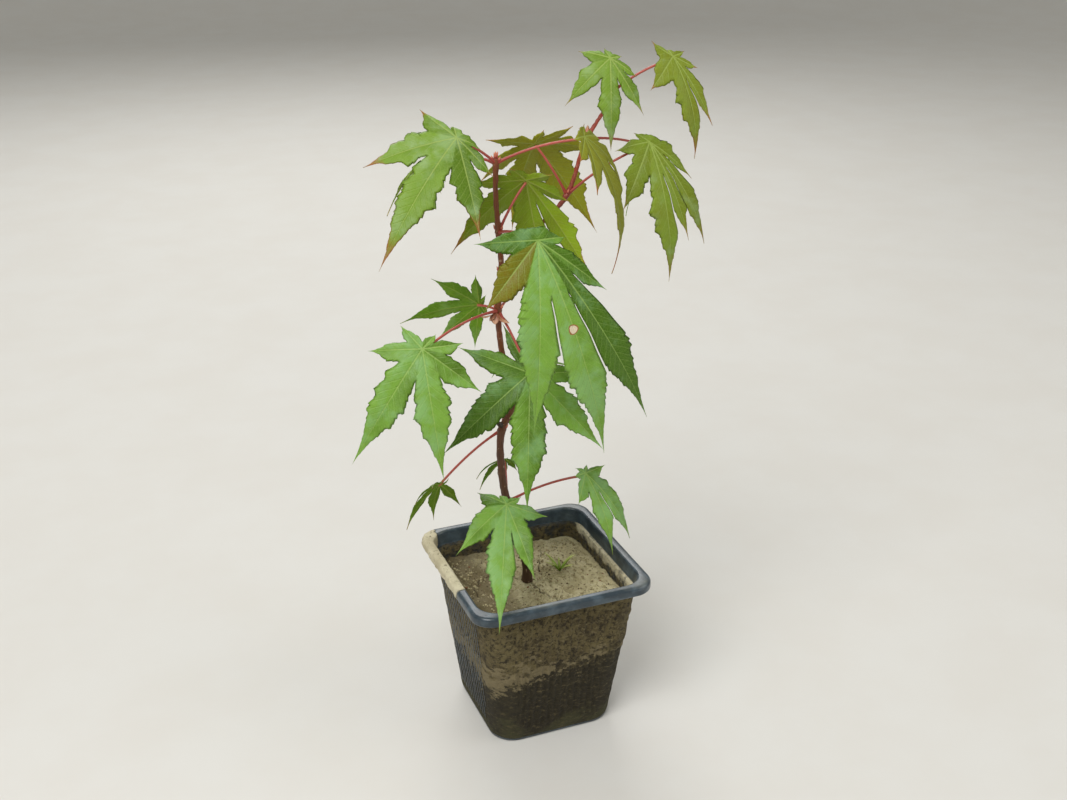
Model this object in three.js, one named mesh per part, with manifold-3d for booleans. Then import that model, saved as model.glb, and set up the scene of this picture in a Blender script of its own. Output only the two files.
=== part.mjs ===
// Potted japanese maple: a young plant with one thin zigzag stem, one side branch and
// palmate leaves on long stalks, in a square nursery pot full of soil.
// Millimetres, +Z up. The origin is under the middle of the pot, on its flat underside, and
// the pot's sides lie along X and Y.

import * as THREE from "three";
import { mergeVertices } from "three/addons/utils/BufferGeometryUtils.js";
import Module from "manifold-3d";

const wasm = await Module();
wasm.setup();

// Driving dimensions
const CLEARANCE = 0.3; // between neighbouring pieces

const POT_HEIGHT = 73;
const RIM_WIDTH = 80; // outside, across the flats
const RIM_CORNER = 9; // radius of the rim's corners
const RIM_BAND = 4.5; // height of the rolled band round the rim
const RIM_OVERHANG = 4; // how far the band stands out from the body
const RIM_ROUND = 1.1; // rounding of the band's edges
const BASE_ROUND = 1;
const BASE_WIDTH = 55;
const BASE_CORNER = 11;
const POT_WALL = 1.4;
const LEDGE_DROP = 6.5; // from the rim's top down to the ledge inside
const LEDGE_STEP = 1.3; // width of the ledge
const DRAIN_RADIUS = 3;
const DRAIN_OFFSET = 17; // of the drain holes, from the middle along X and Y

const SOIL_LEVEL = 61.5; // height of the soil's top at the stem
const SOIL_DISH = 1.2; // how much lower it lies at the pot's wall

const CORNER_STEPS = 5; // flats round each corner of the pot
const DRAIN_SIDES = 16;

const STEM_FOOT_RADIUS = 2.3;
const STEM_LOW_RADIUS = 1.45;
const STEM_TIP_RADIUS = 0.95;
const STEM_FLARE_HEIGHT = 9; // over which the foot widens to the root flare
const NODE_SWELL = 0.3; // how far the stem swells at each leaf node
const NODE_LENGTH = 3; // of each swelling
const STEM_SIDES = 8;
const STEM_STEPS = 36;
const BRANCH_FOOT_RADIUS = 0.95;
const BRANCH_TIP_RADIUS = 0.7;
const BRANCH_SIDES = 6;
const BRANCH_STEPS = 14;

const STALK_FOOT_RADIUS = 0.8;
const STALK_TIP_RADIUS = 0.6;
const STALK_ARCH = 0.1; // rise of a leaf stalk's middle, as a share of its length
const STALK_OVERRUN = 0.8; // how far a stalk runs on into its blade
const STALK_SIDES = 6;
const STALK_STEPS = 6;

// After each lobe, the notch's distance from the joint as a share of the middle lobe's length
const NOTCH_RADII = [0.12, 0.19, 0.24, 0.24, 0.19, 0.12, 0.05];
const NOTCH_LIMIT = 0.6; // most that a notch may take of the shorter lobe beside it
const MIDVEIN_START = 0.06; // least distance of a lobe's own part from the joint, likewise
const LOBE_BULGE = 0.42; // widening of a lobe past its notches, as a share of its length
const LOBE_POINT = 1.6; // exponent that draws a lobe's tip out to a long point
const TOOTH_DEPTH = 0.13; // of the teeth on a margin, as a share of the lobe's half width
const TOOTH_LEAN = 0.2; // how far teeth lean to the tip, in rows
const LOBE_GAP = 0.96; // most that a lobe may take of the room up to its neighbour
const BLADE_CREASE = 0.16; // rise of the blade beside each midvein, per millimetre
const BLADE_THICKNESS = 0.9;
const INNER_ROWS = 2; // from the joint to the notches
const OUTER_ROWS = 6; // from the notches to a lobe's tip

const COLOURS = {
  pot: 0x2b3138,
  soil: 0x8f7f63,
  stem: 0x6e3b2a,
  branch: 0x9a4a3a,
  leaf: 0x5a9a30,
  youngLeaf: 0x8aa63c,
};

// The stem's course from the soil up.
const STEM_PATH = [
  [-3, 0, SOIL_LEVEL + CLEARANCE],
  [-3.2, 0, 68],
  [-7, 0, 86],
  [-12, 0, 102],
  [-14.5, 0, 120],
  [-14, 0, 136],
  [-9, 0, 146],
  [-11.5, 0, 160],
  [-14, 0, 173],
  [-15, 0, 188],
  [-13.5, 0, 204],
  [-14.5, 0, 220],
  [-15.5, 0, 235],
  [-15.3, 0, 249],
];

// The side branch's course on from its foot beside the stem.
const BRANCH_PATH = [
  [-4, 11, 207],
  [6, 15.5, 213.5],
  [20.5, 16, 226.5],
  [29, 16, 248.5],
  [37.8, 16, 261.5],
  [40.8, 16, 268],
];

// The heights of the nodes where leaves and the branch grow.
const STEM_NODES = { low: 102, kink: 136, middle: 188, upper: 203, fork: 220, top: 247 };
const BRANCH_NODES = { branchLow: 227, branchMiddle: 249, branchTop: 267 };

function radians(degrees) {
  return THREE.MathUtils.degToRad(degrees);
}

function vector([x, y, z]) {
  return new THREE.Vector3(x, y, z);
}

// A closed geometry as a solid that can be joined and cut.
function toSolid(geometry) {
  const bare = geometry.clone();
  bare.deleteAttribute("normal");
  bare.deleteAttribute("uv");
  const merged = mergeVertices(bare, 1e-4);
  return new wasm.Manifold(
    new wasm.Mesh({
      numProp: 3,
      vertProperties: merged.attributes.position.array,
      triVerts: new Uint32Array(merged.index.array),
    }),
  );
}

function toGeometry(solid) {
  const mesh = solid.getMesh();
  return new THREE.BufferGeometry()
    .setAttribute("position", new THREE.BufferAttribute(mesh.vertProperties, 3))
    .setIndex(new THREE.BufferAttribute(mesh.triVerts, 1));
}

function geometryFrom(points, faces) {
  return new THREE.BufferGeometry()
    .setAttribute("position", new THREE.Float32BufferAttribute(points.flatMap((p) => p.toArray()), 3))
    .setIndex(faces.flat());
}

// A square with round corners at a given height, as points run anticlockwise.
function squareRing(width, corner, height) {
  const inset = width / 2 - corner;
  const ring = [];
  for (let quarter = 0; quarter < 4; quarter++) {
    const turn = radians(45 + 90 * quarter);
    const centre = [Math.sign(Math.cos(turn)) * inset, Math.sign(Math.sin(turn)) * inset];
    for (let step = 0; step <= CORNER_STEPS; step++) {
      const angle = radians(90 * (quarter + step / CORNER_STEPS));
      ring.push(
        new THREE.Vector3(
          centre[0] + corner * Math.cos(angle),
          centre[1] + corner * Math.sin(angle),
          height,
        ),
      );
    }
  }
  return ring;
}

// Rings of equal count joined into one closed shell, with a flat fan over the first and last.
function loft(rings) {
  const count = rings[0].length;
  const points = rings.flat();
  const faces = [];
  for (let ring = 0; ring + 1 < rings.length; ring++)
    for (let i = 0; i < count; i++) {
      const a = ring * count + i;
      const b = ring * count + ((i + 1) % count);
      faces.push([a, b, b + count], [a, b + count, a + count]);
    }
  for (const [ring, outward] of [
    [0, false],
    [rings.length - 1, true],
  ]) {
    const middle = points.length;
    points.push(new THREE.Vector3(0, 0, rings[ring][0].z));
    for (let i = 0; i < count; i++) {
      const a = ring * count + i;
      const b = ring * count + ((i + 1) % count);
      faces.push(outward ? [a, b, middle] : [b, a, middle]);
    }
  }
  return geometryFrom(points, faces);
}

// A limb: a cylinder bent along a curve, with its own radius at each step.
function limb(curve, radiusAt, sides, steps) {
  const geometry = new THREE.CylinderGeometry(1, 1, 1, sides, steps);
  const frames = curve.computeFrenetFrames(steps);
  const position = geometry.attributes.position;
  for (let i = 0; i < position.count; i++) {
    const step = Math.round((position.getY(i) + 0.5) * steps);
    const radius = radiusAt(step / steps);
    const point = curve
      .getPointAt(step / steps)
      .addScaledVector(frames.normals[step], position.getX(i) * radius)
      .addScaledVector(frames.binormals[step], -position.getZ(i) * radius);
    position.setXYZ(i, point.x, point.y, point.z);
  }
  return geometry;
}

// The body's outside width and corner radius at a given height.
function bodyWidth(height) {
  const top = RIM_WIDTH - 2 * RIM_OVERHANG;
  return THREE.MathUtils.lerp(BASE_WIDTH, top, height / POT_HEIGHT);
}

function bodyCorner(height) {
  return THREE.MathUtils.lerp(BASE_CORNER, RIM_CORNER, height / POT_HEIGHT);
}

function potGeometry() {
  const bandFoot = POT_HEIGHT - RIM_BAND;
  const ledge = POT_HEIGHT - LEDGE_DROP;
  const outside = loft([
    squareRing(BASE_WIDTH - 2 * BASE_ROUND, BASE_CORNER - BASE_ROUND, 0),
    squareRing(bodyWidth(BASE_ROUND), BASE_CORNER, BASE_ROUND),
    squareRing(bodyWidth(bandFoot), bodyCorner(bandFoot), bandFoot),
    squareRing(RIM_WIDTH - 2 * RIM_ROUND, RIM_CORNER - RIM_ROUND, bandFoot),
    squareRing(RIM_WIDTH, RIM_CORNER, bandFoot + RIM_ROUND),
    squareRing(RIM_WIDTH, RIM_CORNER, POT_HEIGHT - RIM_ROUND),
    squareRing(RIM_WIDTH - 2 * RIM_ROUND, RIM_CORNER - RIM_ROUND, POT_HEIGHT),
  ]);
  const inside = loft([
    squareRing(bodyWidth(0) - 2 * POT_WALL, BASE_CORNER - POT_WALL, POT_WALL),
    squareRing(bodyWidth(ledge) - 2 * POT_WALL, bodyCorner(ledge) - POT_WALL, ledge),
    squareRing(bodyWidth(ledge) - 2 * POT_WALL + 2 * LEDGE_STEP, bodyCorner(ledge), ledge),
    squareRing(RIM_WIDTH - 2 * RIM_OVERHANG, RIM_CORNER - 1, POT_HEIGHT - RIM_ROUND),
    squareRing(RIM_WIDTH - 2 * RIM_OVERHANG + RIM_ROUND, RIM_CORNER, POT_HEIGHT),
    squareRing(RIM_WIDTH - 2 * RIM_OVERHANG + RIM_ROUND, RIM_CORNER, POT_HEIGHT + 1),
  ]);
  let pot = toSolid(outside).subtract(toSolid(inside));
  for (const x of [-DRAIN_OFFSET, DRAIN_OFFSET])
    for (const y of [-DRAIN_OFFSET, DRAIN_OFFSET]) {
      const drain = new THREE.CylinderGeometry(DRAIN_RADIUS, DRAIN_RADIUS, 4 * POT_WALL, DRAIN_SIDES);
      drain.rotateX(Math.PI / 2).translate(x, y, 0);
      pot = pot.subtract(toSolid(drain));
    }
  return toGeometry(pot);
}

// The soil fills the pot below the ledge, a little dished from the stem to the wall.
function soilGeometry() {
  const foot = POT_WALL + CLEARANCE;
  const edge = SOIL_LEVEL - SOIL_DISH;
  const gap = 2 * (POT_WALL + CLEARANCE);
  return loft([
    squareRing(bodyWidth(0) - gap, BASE_CORNER - POT_WALL, foot),
    squareRing(bodyWidth(edge) - gap, bodyCorner(edge) - POT_WALL, edge),
    squareRing(bodyWidth(edge) / 2, bodyCorner(edge) / 2, SOIL_LEVEL),
  ]);
}

// Where a curve that only rises reaches a given height, as a share of its length.
function shareAt(curve, height) {
  let low = 0;
  let high = 1;
  while (high - low > 1e-6) {
    const middle = (low + high) / 2;
    if (curve.getPointAt(middle).z < height) low = middle;
    else high = middle;
  }
  return low;
}

// A limb's radius: it tapers evenly and swells a little at each of its nodes.
function taper(height, [foot, tip], [footRadius, tipRadius], nodes) {
  const swell = Object.values(nodes).reduce(
    (sum, node) => sum + NODE_SWELL * Math.exp(-(((height - node) / NODE_LENGTH) ** 2)),
    0,
  );
  return THREE.MathUtils.mapLinear(height, foot, tip, footRadius, tipRadius) + swell;
}

function stemRadius(height) {
  const flare = Math.exp(-(height - SOIL_LEVEL) / (STEM_FLARE_HEIGHT / 2));
  return (
    taper(height, [SOIL_LEVEL, STEM_NODES.top], [STEM_LOW_RADIUS, STEM_TIP_RADIUS], STEM_NODES) +
    (STEM_FOOT_RADIUS - STEM_LOW_RADIUS) * flare
  );
}

function branchRadius(height) {
  return taper(
    height,
    [STEM_NODES.upper, BRANCH_NODES.branchTop],
    [BRANCH_FOOT_RADIUS, BRANCH_TIP_RADIUS],
    BRANCH_NODES,
  );
}

// The place just clear of a limb's skin where a thinner one starts towards a point.
function beside(curve, height, radius, target, footRadius) {
  const share = shareAt(curve, height);
  const start = curve.getPointAt(share);
  const tangent = curve.getTangentAt(share);
  const way = target.clone().sub(start).normalize();
  const lean = way.dot(tangent);
  way.addScaledVector(tangent, -lean).normalize();
  return start.addScaledVector(way, radius + CLEARANCE + footRadius * Math.abs(lean));
}

const stemCurve = new THREE.CatmullRomCurve3(STEM_PATH.map(vector));
const branchCourse = BRANCH_PATH.map(vector);
const branchFoot = beside(
  stemCurve,
  STEM_NODES.upper,
  stemRadius(STEM_NODES.upper),
  branchCourse[0],
  BRANCH_FOOT_RADIUS,
);
const branchCurve = new THREE.CatmullRomCurve3([branchFoot, ...branchCourse]);

function limbGeometry(curve, radiusAt, sides, steps) {
  return limb(curve, (share) => radiusAt(curve.getPointAt(share).z), sides, steps);
}

// The leaves. node is where the stalk grows, joint where stalk and blade meet, and tip the
// end of the middle lobe. faces is the way that the upper side looks: a compass angle from
// +X and an angle of height. bend is how far the blade curves down from joint to tip. Each
// lobe has its angle from the middle lobe, in degrees, and its length as a share of that
// lobe's.
const LEAVES = [
  {
    name: "leaf_top_left",
    node: "top",
    joint: [-32, -4, 259],
    tip: [-68.5, -20, 217],
    faces: [-112, 40],
    bend: 40,
    angles: [-140, -103, -43, 0, 43, 71, 100],
    shares: [0.12, 0.31, 0.61, 1, 0.7, 0.35, 0.18],
    young: true,
  },
  {
    name: "leaf_top_hanging",
    node: "top",
    joint: [15.5, -12, 257],
    tip: [28, -14, 202],
    faces: [-42, 35],
    bend: 60,
    angles: [-110, -70, -35, 0, 40, 75, 115],
    shares: [0.12, 0.25, 0.4, 1, 0.85, 0.3, 0.12],
    young: true,
  },
  {
    name: "leaf_top_back",
    node: "branchLow",
    joint: [10, 24, 247],
    tip: [42.5, 33, 204],
    faces: [75, 25],
    bend: 40,
    angles: [-125, -85, -50, 0, 45, 95, 145],
    shares: [0.15, 0.3, 0.45, 1, 0.8, 0.5, 0.4],
    young: true,
  },
  {
    name: "leaf_upper_middle",
    node: "fork",
    joint: [-2, 3, 238.5],
    tip: [10, 7.5, 187],
    faces: [80, 25],
    bend: 35,
    angles: [-90, -46, -22, 0, 62, 105, 150],
    shares: [0.2, 0.4, 1, 1, 0.77, 0.4, 0.2],
    young: true,
  },
  {
    name: "leaf_large_front",
    node: "fork",
    joint: [-10.5, -30, 225],
    tip: [14.5, -38, 137.5],
    faces: [-95, 25],
    bend: 50,
    angles: [-110, -61, -22, 0, 15, 33, 75],
    shares: [0.25, 0.35, 0.8, 1, 0.94, 0.34, 0.12],
  },
  {
    name: "leaf_left_back",
    node: "middle",
    joint: [-20, 8, 188.5],
    tip: [-53, 10, 185],
    faces: [95, 15],
    bend: 30,
    angles: [-122, -82, -40, 0, 42, 86, 125],
    shares: [0.2, 0.6, 0.68, 1, 0.74, 0.47, 0.15],
  },
  {
    name: "leaf_lower_front",
    node: "middle",
    joint: [-8, -16, 166.5],
    tip: [-16.5, -34, 114],
    faces: [-110, 40],
    bend: 30,
    angles: [-151, -110, -47, 0, 46, 93, 135],
    shares: [0.41, 0.54, 0.85, 1, 0.75, 0.44, 0.15],
  },
  {
    name: "leaf_left_front",
    node: "middle",
    joint: [-54, -24, 186.5],
    tip: [-51.5, -38, 137],
    faces: [-112, 45],
    bend: 35,
    angles: [-147, -98, -42, 0, 45, 89, 130],
    shares: [0.24, 0.39, 1, 1, 0.52, 0.29, 0.15],
  },
  {
    name: "leaf_low_left_back",
    node: "kink",
    joint: [-37.5, 12, 109.5],
    tip: [-52.5, 14, 90],
    faces: [110, 30],
    bend: 40,
    angles: [-120, -77, -40, 0, 45, 96, 130],
    shares: [0.2, 0.9, 0.9, 1, 0.6, 0.47, 0.2],
  },
  {
    name: "leaf_low_back",
    node: "low",
    joint: [-7, 14, 114.5],
    tip: [-18, 20, 100],
    faces: [100, 30],
    bend: 40,
    angles: [-120, -75, -40, 0, 50, 95, 130],
    shares: [0.2, 0.6, 1, 1, 0.85, 0.5, 0.2],
  },
  {
    name: "leaf_over_rim",
    node: "low",
    joint: [-17.5, -14, 109],
    tip: [-33.5, -47, 70],
    faces: [-110, 50],
    bend: 40,
    angles: [-150, -117, -42, 0, 23, 73, 120],
    shares: [0.12, 0.26, 0.55, 1, 0.64, 0.32, 0.12],
  },
  {
    name: "leaf_low_right",
    node: "low",
    joint: [18.5, -12, 115.5],
    tip: [26.5, -22, 80.5],
    faces: [-80, 40],
    bend: 50,
    angles: [-150, -100, -45, 0, 20, 85, 140],
    shares: [0.12, 0.14, 0.37, 1, 1, 0.25, 0.1],
  },
  {
    name: "leaf_branch_tip_left",
    node: "branchTop",
    joint: [35, 8, 281.5],
    tip: [32.5, 0, 246],
    faces: [-112, 45],
    bend: 45,
    angles: [-150, -109, -47, 0, 32, 56, 100],
    shares: [0.12, 0.35, 0.68, 1, 0.69, 0.34, 0.12],
    young: true,
  },
  {
    name: "leaf_branch_tip_right",
    node: "branchTop",
    joint: [63, 10, 280],
    tip: [73, 6, 239],
    faces: [-88, 40],
    bend: 55,
    angles: [-168, -145, -60, 0, 14, 45, 90],
    shares: [0.1, 0.23, 0.39, 1, 0.72, 0.25, 0.12],
    young: true,
  },
  {
    name: "leaf_branch_right",
    node: "branchLow",
    joint: [51, 4, 248.5],
    tip: [58.5, -2, 192],
    faces: [-95, 35],
    bend: 60,
    angles: [-140, -93, -38, 0, 12, 24, 42],
    shares: [0.12, 0.24, 0.5, 1, 0.72, 0.86, 0.4],
    young: true,
  },
  {
    name: "leaf_back_right",
    node: "middle",
    joint: [15.5, 36, 186.5],
    tip: [40, 42.5, 155],
    faces: [62, 58],
    bend: 50,
    angles: [-124, -78, -41, 0, 38, 82, 120],
    shares: [0.2, 0.5, 0.85, 1, 0.88, 0.52, 0.2],
  },
  {
    name: "leaf_back_left",
    node: "top",
    joint: [-30.5, 30.5, 245],
    tip: [-37, 46.5, 212],
    faces: [125, 8],
    bend: 45,
    angles: [-110, -74, -35, 0, 37, 70, 112],
    shares: [0.2, 0.46, 0.85, 1, 0.8, 0.5, 0.2],
    young: true,
  },
  {
    name: "leaf_back_low",
    node: "kink",
    joint: [3.5, 32, 151],
    tip: [42, 38.5, 128.5],
    faces: [60, 58],
    bend: 45,
    angles: [-120, -81, -38, 0, 42, 79, 124],
    shares: [0.2, 0.52, 0.82, 1, 0.87, 0.48, 0.2],
  },
  {
    name: "leaf_branch_back",
    node: "branchMiddle",
    joint: [79, 37, 232.5],
    tip: [59, 44.5, 207],
    faces: [125, 58],
    bend: 50,
    angles: [-100, -62, -32, 0, 30, 60, 96],
    shares: [0.2, 0.42, 0.75, 1, 0.77, 0.4, 0.18],
  },
];

// The frame and shape of one blade: its middle lobe's length, and a function that takes a
// place in the flat leaf (distance and angle from the joint) to its place in space. The
// blade curves down evenly from the joint, as an umbrella does.
function bladeShape(leaf) {
  const joint = vector(leaf.joint);
  const along = vector(leaf.tip).sub(joint);
  const chord = along.length();
  along.normalize();
  const [compass, height] = leaf.faces.map(radians);
  const above = new THREE.Vector3(
    Math.cos(compass) * Math.cos(height),
    Math.sin(compass) * Math.cos(height),
    Math.sin(height),
  );
  above.addScaledVector(along, -above.dot(along)).normalize();
  const bend = radians(leaf.bend);
  const outward = along.clone().multiplyScalar(Math.cos(bend / 2));
  outward.addScaledVector(above, Math.sin(bend / 2));
  const up = above.clone().multiplyScalar(Math.cos(bend / 2));
  up.addScaledVector(along, -Math.sin(bend / 2));
  const side = up.clone().cross(outward);
  const length = (chord * (bend / 2)) / Math.sin(bend / 2);
  const curl = bend / length;
  const place = (distance, angle, rise) => {
    const radial = outward.clone().multiplyScalar(Math.cos(angle));
    radial.addScaledVector(side, Math.sin(angle));
    const turned = curl * distance;
    return joint
      .clone()
      .addScaledVector(radial, Math.sin(turned) / curl + rise * Math.sin(turned))
      .addScaledVector(up, (Math.cos(turned) - 1) / curl + rise * Math.cos(turned));
  };
  return { joint, outward, length, place };
}

// The lobes of one leaf: each one's angle from the middle lobe and its length.
function lobesOf(leaf, length) {
  return leaf.angles.map((angle, lobe) => ({
    angle: radians(angle),
    reach: length * leaf.shares[lobe],
  }));
}

// The notches between the lobes: each one's distance from the joint, and its angle from
// the lobes on either side.
function notchesOf(lobes, length) {
  return lobes.map((lobe, place) => {
    const next = lobes[(place + 1) % lobes.length];
    const turn = place + 1 < lobes.length ? 0 : 2 * Math.PI;
    const shorter = Math.min(lobe.reach, next.reach);
    return {
      gap: (next.angle - lobe.angle + turn) / 2,
      radius: Math.min(NOTCH_RADII[place] * length, NOTCH_LIMIT * shorter),
    };
  });
}

// Half of a lobe's width, step by step from a notch to the tip, with a tooth on every other
// step: pairs of the distance along the lobe and the distance across it.
function lobeMargin(lobe, notch) {
  const start = notch.radius * Math.cos(notch.gap);
  const half = notch.radius * Math.sin(notch.gap);
  const margin = [];
  for (let step = 1; step < OUTER_ROWS; step++) {
    const tooth = step % 2 ? 1 : -1;
    const share = (step + TOOTH_LEAN * tooth) / OUTER_ROWS;
    const along = start + share * (lobe.reach - start);
    const bulge = half + LOBE_BULGE * lobe.reach * share;
    let across = (1 - share) ** LOBE_POINT * bulge * (1 + TOOTH_DEPTH * tooth);
    if (notch.gap < Math.PI / 2) across = Math.min(across, LOBE_GAP * along * Math.tan(notch.gap));
    margin.push([along, across]);
  }
  return margin;
}

// A blade as a thin closed solid: rows of points along each lobe, on its midvein and both
// margins, with the rows from the joint to a notch shared by the lobes beside it.
function bladeGeometry(leaf) {
  const { length, place } = bladeShape(leaf);
  const lobes = lobesOf(leaf, length);
  const notches = notchesOf(lobes, length);
  const points = [];
  const faces = [];

  // A point on the blade's upper side and one under it, or one for both on the margin.
  const addPoint = (distance, angle, rise, thickness) => {
    points.push(place(distance, angle, rise + thickness / 2));
    if (!thickness) return [points.length - 1, points.length - 1];
    points.push(place(distance, angle, rise - thickness / 2));
    return [points.length - 2, points.length - 1];
  };
  const addFace = (a, b, c) => {
    if (a === b || b === c || a === c) return;
    faces.push([a[0], b[0], c[0]], [a[1], c[1], b[1]]);
  };

  const centre = addPoint(0, 0, 0, BLADE_THICKNESS);
  const notchRows = notches.map(({ gap, radius }, lobe) => {
    const row = [centre];
    for (let step = 1; step <= INNER_ROWS; step++) {
      const distance = (radius * step) / INNER_ROWS;
      const rise = BLADE_CREASE * distance * Math.sin(Math.min(gap, Math.PI / 2));
      const thickness = step < INNER_ROWS ? BLADE_THICKNESS : 0;
      row.push(addPoint(distance, lobes[lobe].angle + gap, rise, thickness));
    }
    return row;
  });

  lobes.forEach((lobe, i) => {
    const before = (i + lobes.length - 1) % lobes.length;
    const mean = [before, i].reduce((sum, n) => sum + notches[n].radius * Math.cos(notches[n].gap), 0) / 2;
    const start = Math.max(mean, MIDVEIN_START * length);
    const midvein = [centre];
    for (let step = 1; step <= INNER_ROWS; step++)
      midvein.push(addPoint((start * step) / INNER_ROWS, lobe.angle, 0, BLADE_THICKNESS));
    for (let step = 1; step < OUTER_ROWS; step++) {
      const distance = THREE.MathUtils.lerp(start, lobe.reach, step / OUTER_ROWS);
      midvein.push(addPoint(distance, lobe.angle, 0, BLADE_THICKNESS));
    }
    const tip = addPoint(lobe.reach, lobe.angle, 0, 0);
    midvein.push(tip);

    const edge = (notch, side) => [
      ...notchRows[notch],
      ...lobeMargin(lobe, notches[notch]).map(([along, across]) =>
        addPoint(
          Math.hypot(along, across),
          lobe.angle + side * Math.atan2(across, along),
          BLADE_CREASE * across,
          0,
        ),
      ),
      tip,
    ];
    const left = edge(i, 1);
    const right = edge(before, -1);
    for (let row = 0; row + 1 < midvein.length; row++) {
      addFace(midvein[row], midvein[row + 1], left[row + 1]);
      addFace(midvein[row], left[row + 1], left[row]);
      addFace(midvein[row + 1], midvein[row], right[row]);
      addFace(midvein[row + 1], right[row], right[row + 1]);
    }
  });
  return geometryFrom(points, faces);
}

// A leaf's stalk: it starts just clear of its limb, arches a little to the joint and runs on
// into the blade.
function stalkGeometry(leaf) {
  const { joint, outward } = bladeShape(leaf);
  const onStem = leaf.node in STEM_NODES;
  const curve = onStem ? stemCurve : branchCurve;
  const height = (onStem ? STEM_NODES : BRANCH_NODES)[leaf.node];
  const radius = (onStem ? stemRadius : branchRadius)(height);
  const node = curve.getPointAt(shareAt(curve, height));
  const middle = node.clone().lerp(joint, 0.5);
  middle.z += STALK_ARCH * node.distanceTo(joint);
  const start = beside(curve, height, radius, middle, STALK_FOOT_RADIUS);
  const end = joint.clone().addScaledVector(outward, STALK_OVERRUN);
  return limb(
    new THREE.QuadraticBezierCurve3(start, middle, end),
    (share) => THREE.MathUtils.lerp(STALK_FOOT_RADIUS, STALK_TIP_RADIUS, share),
    STALK_SIDES,
    STALK_STEPS,
  );
}

function leafGeometry(leaf) {
  return toGeometry(toSolid(bladeGeometry(leaf)).add(toSolid(stalkGeometry(leaf))));
}

function finish(colour, roughness) {
  return new THREE.MeshStandardMaterial({ color: colour, roughness, metalness: 0 });
}

const plant = new THREE.Group();

function addPiece(name, geometry, colour, roughness) {
  const mesh = new THREE.Mesh(geometry, finish(colour, roughness));
  mesh.name = name;
  plant.add(mesh);
}

addPiece("pot", potGeometry(), COLOURS.pot, 0.5);
addPiece("soil", soilGeometry(), COLOURS.soil, 1);
addPiece("main_stem", limbGeometry(stemCurve, stemRadius, STEM_SIDES, STEM_STEPS), COLOURS.stem, 0.7);
addPiece(
  "side_branch",
  limbGeometry(branchCurve, branchRadius, BRANCH_SIDES, BRANCH_STEPS),
  COLOURS.branch,
  0.6,
);
LEAVES.forEach((leaf) => {
  const colour = leaf.young ? COLOURS.youngLeaf : COLOURS.leaf;
  addPiece(leaf.name, leafGeometry(leaf), colour, 0.6);
});

export default plant;
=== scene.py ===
"""Potted japanese maple: the looks of a young plant in a muddy square nursery pot.

Shapes are worked out in millimetres in the part's own frame (+Z up, origin under the middle
of the pot) and turned to metres as they go into their meshes. The plant grows by the same
rule as the part's solids, with finer margins, veins and bark.
"""

import math

import bpy
import numpy as np
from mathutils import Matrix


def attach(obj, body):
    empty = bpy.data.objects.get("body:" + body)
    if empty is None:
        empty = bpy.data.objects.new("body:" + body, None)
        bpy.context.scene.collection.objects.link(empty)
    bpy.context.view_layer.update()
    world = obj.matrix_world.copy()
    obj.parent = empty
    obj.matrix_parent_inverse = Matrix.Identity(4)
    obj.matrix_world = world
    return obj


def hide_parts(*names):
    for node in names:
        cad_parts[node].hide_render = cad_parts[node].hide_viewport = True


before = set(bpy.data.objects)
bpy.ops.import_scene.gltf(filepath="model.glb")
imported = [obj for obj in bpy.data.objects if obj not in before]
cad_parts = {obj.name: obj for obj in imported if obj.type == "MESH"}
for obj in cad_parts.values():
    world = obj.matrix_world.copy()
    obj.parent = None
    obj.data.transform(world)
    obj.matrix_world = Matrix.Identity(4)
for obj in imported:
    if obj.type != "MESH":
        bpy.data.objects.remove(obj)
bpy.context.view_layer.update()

MM = 0.001
WELD = 1e-4  # mm within which two points are one

# The pot, as in the part
CLEARANCE = 0.3
POT_HEIGHT = 73
RIM_WIDTH = 80
RIM_CORNER = 9
RIM_BAND = 4.5
RIM_OVERHANG = 4
BASE_WIDTH = 55
BASE_CORNER = 11
POT_WALL = 1.4
LEDGE_DROP = 6.5
LEDGE_STEP = 1.3
DRAIN_RADIUS = 3
DRAIN_OFFSET = 17
SOIL_LEVEL = 61.5
SOIL_DISH = 1.2

# The limbs, as in the part
STEM_FOOT_RADIUS = 2.3
STEM_LOW_RADIUS = 1.45
STEM_TIP_RADIUS = 0.95
STEM_FLARE_HEIGHT = 9
NODE_SWELL = 0.3
NODE_LENGTH = 3
OLD_BARK = 0.25  # added to the stem's radius low down
OLD_BARK_HEIGHTS = (120, 170)  # where it is full and where it ends
BRANCH_FOOT_RADIUS = 0.95
BRANCH_TIP_RADIUS = 0.7
STALK_ARCH = 0.1

# The blades, as in the part
NOTCH_RADII = np.array([0.12, 0.19, 0.24, 0.24, 0.19, 0.12, 0.05])
NOTCH_LIMIT = 0.6
MIDVEIN_START = 0.06
LOBE_BULGE = 0.42
LOBE_POINT = 1.6
LOBE_GAP = 0.96

STEM_PATH = [
    (-3, 0, SOIL_LEVEL + CLEARANCE),
    (-3.2, 0, 68),
    (-7, 0, 86),
    (-12, 0, 102),
    (-14.5, 0, 120),
    (-14, 0, 136),
    (-9, 0, 146),
    (-11.5, 0, 160),
    (-14, 0, 173),
    (-15, 0, 188),
    (-13.5, 0, 204),
    (-14.5, 0, 220),
    (-15.5, 0, 235),
    (-15.3, 0, 249),
]
BRANCH_PATH = [
    (-4, 11, 207),
    (6, 15.5, 213.5),
    (20.5, 16, 226.5),
    (29, 16, 248.5),
    (37.8, 16, 261.5),
    (40.8, 16, 268),
]
STEM_NODES = {"low": 102, "kink": 136, "middle": 188, "upper": 203, "fork": 220, "top": 247}
BRANCH_NODES = {"branchLow": 227, "branchMiddle": 249, "branchTop": 267}

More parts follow.
